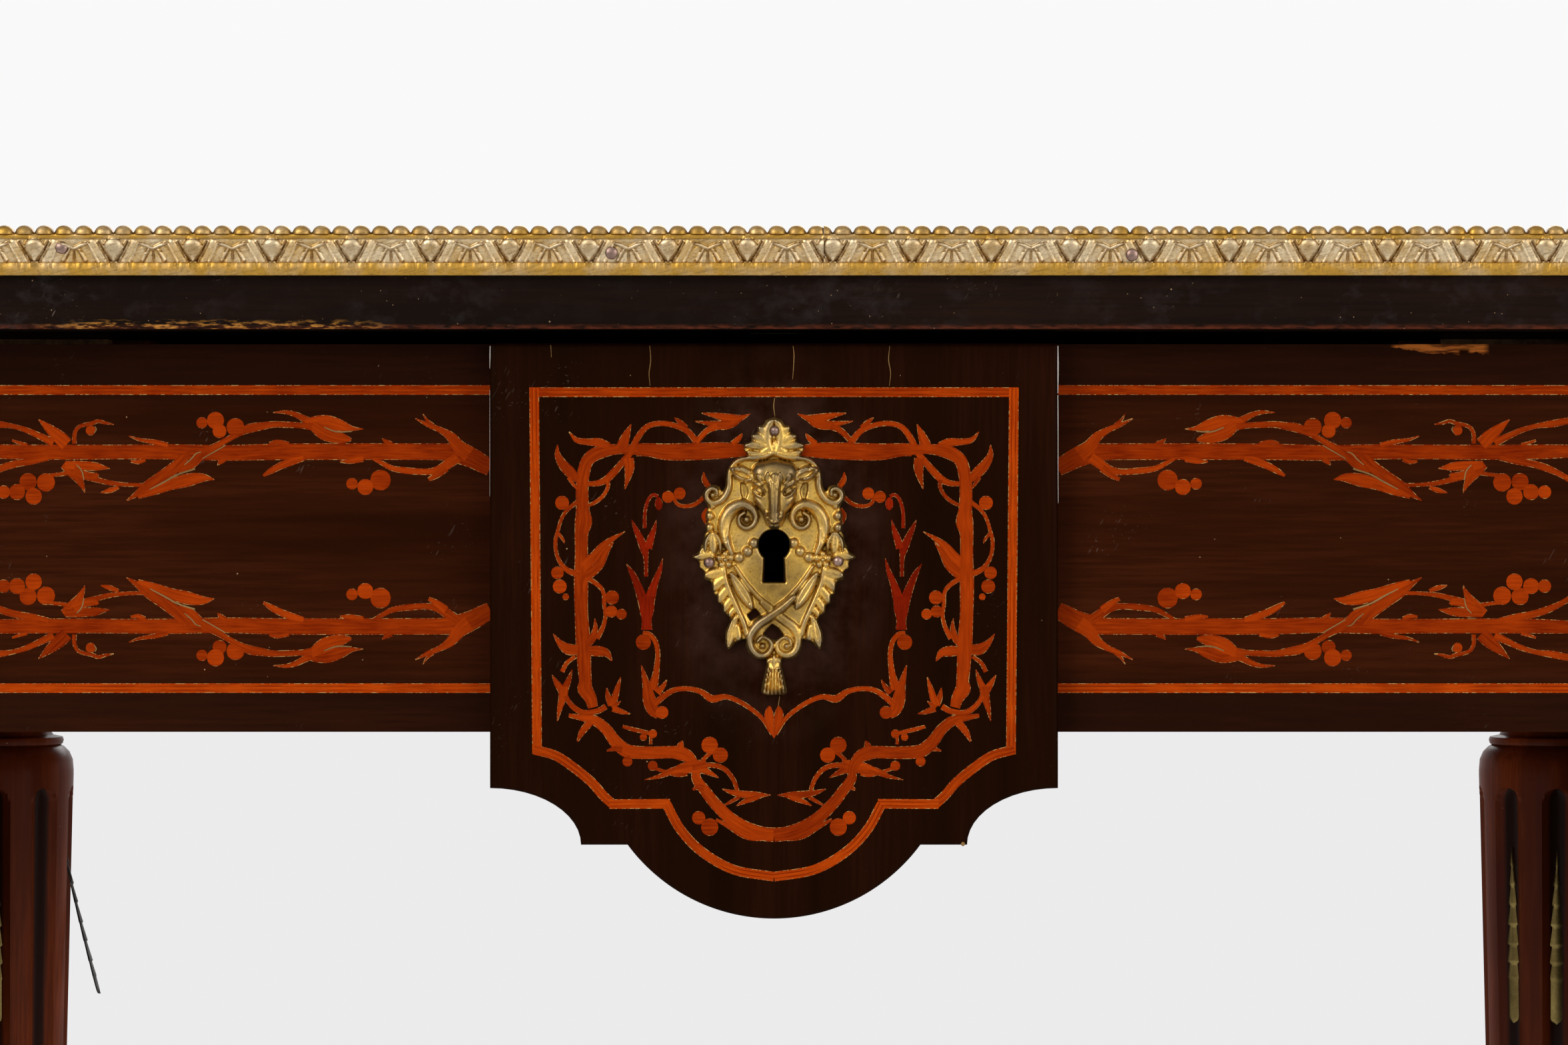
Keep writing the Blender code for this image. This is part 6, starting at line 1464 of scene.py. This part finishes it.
# %% [markdown]
# Last, the grid gets a flat back, and a wall wherever a kept cell has no neighbour, so that the plate is
# solid.
# %% Escutcheon: the plate
KEYHOLE_Z = DRAWER_TOP - KEYHOLE_DROP * MM
PLATE_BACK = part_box("escutcheon")[1].y


def plate_shell():
    """Front and back points, front and back cells, and walls where a kept cell has no neighbour."""
    x, z, inside, cells, used, rim = plate_grid()
    height, worn, deep = plate_heights(x, z, inside, used, rim)
    count = int(used.sum())
    number = np.full(used.shape, -1)
    number[used] = np.arange(count)
    front = np.stack([x[used] * MM, PLATE_BACK - height[used] * MM, KEYHOLE_Z + z[used] * MM], 1)
    back = front.copy()
    back[:, 1] = PLATE_BACK
    a, b, c, d = number[:-1, :-1], number[1:, :-1], number[1:, 1:], number[:-1, 1:]
    quads = np.stack([a, b, c, d], -1)[cells]
    around = np.pad(cells, 1)
    below, above = around[1:-1, :-2], around[1:-1, 2:]
    before, beyond = around[:-2, 1:-1], around[2:, 1:-1]
    walls = []
    for neighbour, first, second in ((below, a, b), (beyond, b, c), (above, c, d), (before, d, a)):
        edge = cells & ~neighbour
        walls.append(np.stack([first[edge], second[edge], second[edge] + count, first[edge] + count], -1))
    faces = np.concatenate([quads, quads[:, ::-1] + count, *walls])
    marks = {"worn": np.tile(worn[used], 2), "deep": np.tile(deep[used], 2)}
    return np.concatenate([front, back]), faces, [], marks


plate = [plate_shell()]
make_piece("ram_escutcheon", plate, gilt_bronze, "drawer", ("escutcheon",), sharp=75)

# %% [markdown]
# Small round-headed iron nails hold the escutcheon and the front moulding. A head is a low dome on a
# short shank.
# %% Nails
# Across, up and radius from the keyhole, and how far a head stands out from the back of the plate.
PLATE_NAILS = ((0.2, 34.3, 1.6), (-19.4, -5.2, 1.75), (19.2, -4.8, 1.75))
PLATE_NAIL_DEPTH = 2.2
# Place along the front in metres and height over the foot of the moulding.
MOULDING_NAILS = ((-0.2122, 8.3), (-0.0484, 6.7), (0.1067, 6.1))
MOULDING_NAIL, MOULDING_NAIL_RISE, MOULDING_NAIL_DEPTH = 1.9 * MM, 0.8 * MM, 3.4
NAIL_COLUMNS = 20


def nail_shell(x, y, z, radius, rise):
    """Rings from a sunk foot over the dome of a head that looks to the front, in metres."""
    a = np.linspace(0, 0.47 * np.pi, 7)
    reach = np.concatenate([[radius], radius * np.cos(a)])[:, None]
    out = np.concatenate([[-2 * rise], rise * np.sin(a)])[:, None]
    t = np.linspace(0, 2 * np.pi, NAIL_COLUMNS, endpoint=False)
    out = np.broadcast_to(out, (len(reach), NAIL_COLUMNS))
    points = np.stack([x + reach * np.cos(t), y - out, z + reach * np.sin(t)], -1)
    return shell(points, wrap_columns=True, caps=True)


face = PLATE_BACK - PLATE_NAIL_DEPTH * MM
heads = [nail_shell(x * MM, face, KEYHOLE_Z + z * MM, r * MM, r * MM) for x, z, r in PLATE_NAILS]
make_piece("escutcheon_nails", heads, iron_nail, "drawer")
foot = corner_of("top_moulding_front_left", FRONTWARDS, UPWARDS)
face = foot[1] - MOULDING_NAIL_DEPTH * MM
size = (MOULDING_NAIL, MOULDING_NAIL_RISE)
heads = [nail_shell(x, face, foot[2] + up * MM, *size) for x, up in MOULDING_NAILS]
make_piece("moulding_nails", heads, iron_nail, "carcass")

# %% [markdown]
# The legs are turned and fluted below a square block. One grid makes each leg: its rows go down the leg,
# and its columns go round. The block is the same ring of points pushed out to a square, so the leg needs
# no joint. Flutes are hollows with a round section, which start and end as the end of a gouge does.
# %% Profile and flutes of a leg
DIE_LOW = 0.5938
SABOT_HIGH = 0.055
ANKLE = 0.0150
FLUTES = 8
FLUTE_TOP, FLUTE_FOOT = 0.5548, 0.095
FLUTE_WIDE, FLUTE_DEEP = 0.011, 0.0034
SHAFT_ROWS, GOUGE_ROWS = 100, 12
# Turned profile from the block down: radius and height.
LEG_PROFILE = (
    (0.0166, 0.5938), (0.0174, 0.5928), (0.0172, 0.584), (0.0176, 0.577), (0.0190, 0.5746),
    (0.0226, 0.5738), (0.0230, 0.5726), (0.0226, 0.5712), (0.0218, 0.5708), (0.0232, 0.5700),
    (0.0252, 0.5680), (0.0265, 0.5650), (0.0268, 0.5610), (0.0268, 0.5590),
)
SHAFT_RADIUS, SHAFT_TOP = LEG_PROFILE[-1]


def shaft_radius(height):
    """The shaft tapers evenly from its top to the ankle."""
    share = (SHAFT_TOP - height) / (SHAFT_TOP - SABOT_HIGH)
    return SHAFT_RADIUS + (ANKLE - SHAFT_RADIUS) * share


def leg_rings():
    """Rows of radius and height: the profile, then the shaft with extra rows where the flutes end."""
    even = np.linspace(SHAFT_TOP, SABOT_HIGH, SHAFT_ROWS)[1:]
    gouge = FLUTE_WIDE / 2 * np.linspace(0, 1, GOUGE_ROWS) ** 2
    shaft = np.unique(np.concatenate([even, FLUTE_TOP - gouge, FLUTE_FOOT + gouge]))[::-1]
    return np.concatenate([LEG_PROFILE, np.stack([shaft_radius(shaft), shaft], 1)])


def flute_depth(radius, height, angle):
    """Depth of the hollows round a ring, at each height: round in section, and dying out at both ends."""
    shrink = radius / SHAFT_RADIUS
    half = FLUTE_WIDE * shrink / 2
    off = ((angle * FLUTES / (2 * np.pi) + 0.5) % 1 - 0.5) * (2 * np.pi / FLUTES) * radius
    end = np.minimum(FLUTE_TOP - height, height - FLUTE_FOOT)
    fade_out = np.sqrt(np.clip(1 - (1 - np.clip(end / half, 0, 1)) ** 2, 0, 1))
    across = off / (half * np.maximum(fade_out, 1e-6))
    return FLUTE_DEEP * shrink * np.sqrt(np.maximum(0, 1 - across**2)) * (fade_out > 0)


print("rows of a leg:", len(leg_rings()))

# %% [markdown]
# The four legs are the same grid at four corners. The block's upright arrises are cut off by a hair, and
# so are its upper and lower ones, because a sharp edge never catches the light as a real one does.
# %% Legs
LEG_X, LEG_Y = 0.300, 0.217
DIE_HALF, DIE_ARRIS = 0.028, 0.0006
DIE_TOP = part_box("leg_front_left")[1].z
LEG_COLUMNS = 160
ENDS, SIDES = (("front", -1), ("rear", 1)), (("left", -1), ("right", 1))
CORNERS = {f"{end}_{side}": (sx * LEG_X, sy * LEG_Y) for end, sy in ENDS for side, sx in SIDES}


def leg_shell(x, y):
    """Rings with the reach of a square with cut corners, then of the turned profile less the flutes."""
    angle = np.linspace(0, 2 * np.pi, LEG_COLUMNS, endpoint=False)
    way = np.stack([np.cos(angle), np.sin(angle)], 1)
    square = 1 / np.abs(way).max(1)
    square = np.minimum(DIE_HALF * square, (DIE_HALF - DIE_ARRIS) * math.sqrt(2) + DIE_ARRIS)
    rings = leg_rings()
    radius, height = rings[:, :1], rings[:, 1:]
    hollow = flute_depth(radius, height, angle)
    die = np.stack([square - DIE_ARRIS, square, square, square - DIE_ARRIS])
    die_height = np.array([DIE_TOP, DIE_TOP - DIE_ARRIS, DIE_LOW + DIE_ARRIS, DIE_LOW])[:, None]
    reach = np.concatenate([die, radius - hollow])
    up = np.broadcast_to(np.concatenate([die_height, height]), reach.shape)
    points = np.stack([x + reach * way[:, 0], y + reach * way[:, 1], up], -1)
    hollow = np.concatenate([np.zeros(die.shape), hollow / FLUTE_DEEP])
    return shell(points, wrap_columns=True, caps=True, hollow=hollow)


for corner, (x, y) in CORNERS.items():
    leg = [leg_shell(x, y)]
    replaced = ("leg_" + corner,)
    make_piece("turned_leg_" + corner, leg, fluted_rosewood, "carcass", replaced, sharp=35)

# %% [markdown]
# Each foot ends in a brass shoe, turned hollow on a lathe and slipped over the ankle. It is a profile
# swept round.
# %% Sabots
SABOT_STEP, SABOT_COLUMNS = 0.0008, 48
SABOT_PROFILE = (
    (0.0080, 0.0), (0.0100, 0.0006), (0.0108, 0.0030), (0.0128, 0.0090), (0.0146, 0.0150),
    (0.0150, 0.0200), (0.0147, 0.0240), (0.0140, 0.0290), (0.0136, 0.0350), (0.0135, 0.0400),
    (0.0139, 0.0440), (0.0150, 0.0476), (0.0162, 0.0488), (0.0176, 0.0494), (0.0180, 0.0508),
    (0.0180, 0.0530), (0.0176, 0.0546), (0.0168, 0.0550), (0.0156, 0.0550),
)


def swept_round(profile, x, y):
    """A smoothed profile of radius and height turned round an upright axis."""
    angle = np.linspace(0, 2 * np.pi, SABOT_COLUMNS, endpoint=False)
    rows = smooth_path([(*row, 0) for row in profile], SABOT_STEP)
    reach, up = rows[:, :1], np.broadcast_to(rows[:, 1:2], (len(rows), SABOT_COLUMNS))
    points = np.stack([x + reach * np.cos(angle), y + reach * np.sin(angle), up], -1)
    return shell(points, wrap_columns=True, caps=True)


for corner, (x, y) in CORNERS.items():
    shoe = [swept_round(SABOT_PROFILE, x, y)]
    replaced = ("sabot_" + corner,)
    make_piece("brass_sabot_" + corner, shoe, old_brass, "carcass", replaced, sharp=50)

# %% [markdown]
# In the upper part of each flute lies a chandelle, a brass strip shaped like a candle: a plain stem below
# and a flame of small overlapping leaves above. On the left rear leg one is lost, and its neighbour has
# come loose: it has lost its end, has gone black, and springs out towards its foot.
# %% Chandelles
CANDLE_TOP, CANDLE_FOOT, CANDLE_ROWS = 0.5320, 0.4640, 90
CANDLE_WIDE, CANDLE_THICK, CANDLE_SUNK = 0.0050, 0.0012, 0.0002
FLAME_FOOT = 0.4810
LEAF_PITCH = 0.0075
SPRUNG_FLUTE = ("rear_left", 0)
BARE_FLUTES = (SPRUNG_FLUTE, ("rear_left", 7))
SPRUNG_FOOT = 0.4740
SPRING, SPRING_POWER = 0.0150, 1.1
BULGE = np.array([0, 0.5, 0.9, 1, 0.9, 0.5, 0])


def candle_section(up, foot):
    """Half width and rise of the strip at each height: a tapering flame of leaves over a plain stem."""
    flame = np.clip((up - FLAME_FOOT) / (CANDLE_TOP - FLAME_FOOT), 0, 1)
    leaf = ((CANDLE_TOP - up) / LEAF_PITCH) % 1
    wide = np.where(flame > 0, (1 - flame**2.2) * (0.72 + 0.38 * leaf), 0.9)
    ends = np.sqrt(np.clip((up - foot) / 0.002, 0, 1))
    rise = CANDLE_THICK * np.where(flame > 0, 0.75 + 0.4 * leaf, 0.9)
    return CANDLE_WIDE / 2 * np.maximum(wide * ends, 0.04), rise


def candle_shell(x, y, flute, foot=CANDLE_FOOT, spring=0.0):
    """A strip on the floor of one flute, seven points across, bent outwards towards its foot by a spring."""
    angle = flute * 2 * math.pi / FLUTES
    up = np.linspace(foot, CANDLE_TOP, CANDLE_ROWS)[:, None]
    half, rise = candle_section(up, foot)
    flute_floor = shaft_radius(up) * (1 - FLUTE_DEEP / SHAFT_RADIUS)
    bent = spring * ((CANDLE_TOP - up) / (CANDLE_TOP - foot)) ** SPRING_POWER
    side = half * STRIP
    reach = flute_floor - CANDLE_SUNK + rise * BULGE + bent
    east, north = math.cos(angle), math.sin(angle)
    up = np.broadcast_to(up, side.shape)
    points = np.stack([x + reach * east - side * north, y + reach * north + side * east, up], -1)
    return shell(points, wrap_columns=True, caps=True)


for corner, (x, y) in CORNERS.items():
    strips = [candle_shell(x, y, flute) for flute in range(FLUTES) if (corner, flute) not in BARE_FLUTES]
    make_piece("chandelles_" + corner, strips, candle_brass, "carcass", sharp=50)
loose = candle_shell(*CORNERS[SPRUNG_FLUTE[0]], SPRUNG_FLUTE[1], SPRUNG_FOOT, SPRING)
make_piece("sprung_chandelle", [loose], tarnished_and_shaded_strip, "carcass", sharp=50)

# %% [markdown]
# A pale floor takes the shadows of the table. To the eye it fades into the pale backdrop, so no edge of
# the floor shows behind the legs.
# %% Floor
PALE, SHADED = paint(249, 249, 249), paint(236, 235, 236)
FLOOR_NEAR, FLOOR_FAR, FLOOR_REACH = 1.0, 3.2, 30.0


def add_floor():
    """A wide square of floor. The eye sees it fade into the pale backdrop, and its shadows stay."""
    made, tree, shader = finish("studio_floor", roughness=0.9, specular=0.1)
    shader.inputs["Base Color"].default_value = PALE
    x, y, z = axes(tree)
    away = plus(tree, sums(tree, "POWER", x, 2.0), sums(tree, "POWER", y, 2.0))
    faded = mapped(tree, sums(tree, "POWER", away, 0.5), FLOOR_NEAR, FLOOR_FAR, 0.5, 1.0)
    seen = times(tree, node(tree, "LightPath").outputs["Is Camera Ray"], faded)
    glow = node(tree, "Emission", {"Color": SHADED}).outputs[0]
    mixed = node(tree, "MixShader", {0: seen, 1: shader.outputs[0], 2: glow}).outputs[0]
    tree.links.new(mixed, tree.nodes["Material Output"].inputs["Surface"])
    mesh = bpy.data.meshes.new("floor")
    square = np.array([(-1, -1, 0), (1, -1, 0), (1, 1, 0), (-1, 1, 0)]) * FLOOR_REACH
    mesh.from_pydata(square.tolist(), [], [(0, 1, 2, 3)])
    mesh.materials.append(made)
    floor = bpy.data.objects.new("floor", mesh)
    bpy.context.scene.collection.objects.link(floor)


add_floor()
print("the floor reaches", FLOOR_REACH, "m to each side")

# %% [markdown]
# A white surrounding and large soft lamps at the sides and above light the table evenly, as in a studio.
# Mirrors and the eye see the surrounding white, but it lights the table only about half as much, so that
# forms keep their shade.
# %% Lamps and surroundings
HORIZON = 0.04
SURROUND_LIGHT = 0.55
# Name, place, the point it faces, size and power.
LAMPS = (
    ("key", (-1.5, -2.0, 1.9), (0.0, -0.2, 0.6), 1.4, 46),
    ("fill", (1.7, -1.8, 1.3), (0.0, -0.2, 0.6), 1.6, 26),
    ("back", (0.4, 2.0, 2.0), (0.0, 0.0, 0.5), 1.6, 30),
)


def set_world(lit):
    """White to the eye and to mirrors, and softer as a light."""
    world = bpy.data.worlds.new("studio")
    world.use_nodes = True
    tree = world.node_tree
    rays = node(tree, "LightPath").outputs
    seen = sums(tree, "MAXIMUM", rays["Is Camera Ray"], rays["Is Glossy Ray"])
    seen = sums(tree, "MAXIMUM", seen, rays["Is Transmission Ray"])
    background = tree.nodes["Background"]
    way = node(tree, "SeparateXYZ", {0: node(tree, "TexCoord").outputs["Generated"]}).outputs[2]
    colour = between(tree, mapped(tree, way, 0.0, HORIZON), SHADED, PALE)
    tree.links.new(colour, background.inputs["Color"])
    tree.links.new(mapped(tree, seen, 0.0, 1.0, lit, 1.0), background.inputs["Strength"])
    bpy.context.scene.world = world


def add_lamp(name, place, target, size, power):
    """A square soft lamp that faces a point."""
    lamp = bpy.data.lights.new(name, "AREA")
    lamp.size = size
    lamp.energy = power
    made = bpy.data.objects.new(name, lamp)
    made.location = place
    way = np.array(target) - np.array(place)
    flat = math.hypot(way[0], way[1])
    made.rotation_euler = (math.atan2(flat, -way[2]), 0.0, math.atan2(way[1], way[0]) - math.pi / 2)
    bpy.context.scene.collection.objects.link(made)


set_world(SURROUND_LIGHT)
for lamp_facts in LAMPS:
    add_lamp(*lamp_facts)
print("lamps:", [name for name, *_ in LAMPS])

# %% [markdown]
# The camera stands where the photographer stood: straight in front, level with the frieze, with a long
# lens. Its lens follows from the width of the picture and a focal length, both in pixels. Plain Standard
# colour shows the finishes as they were mixed.
# %% Camera
PHOTO_WIDTH = 2353
FOCAL_PIXELS = 8000
CAMERA_PLACE = (0.003, -1.8543, 0.657)
SENSOR = 36.0


def add_camera():
    """A level camera that looks along y."""
    lens = bpy.data.cameras.new("photo")
    lens.sensor_fit = "HORIZONTAL"
    lens.sensor_width = SENSOR
    lens.lens = SENSOR * FOCAL_PIXELS / PHOTO_WIDTH
    made = bpy.data.objects.new("photo", lens)
    made.location = CAMERA_PLACE
    made.rotation_euler = (math.pi / 2, 0.0, 0.0)
    bpy.context.scene.collection.objects.link(made)
    bpy.context.scene.camera = made


add_camera()
bpy.context.scene.view_settings.view_transform = "Standard"
print("camera at", CAMERA_PLACE)
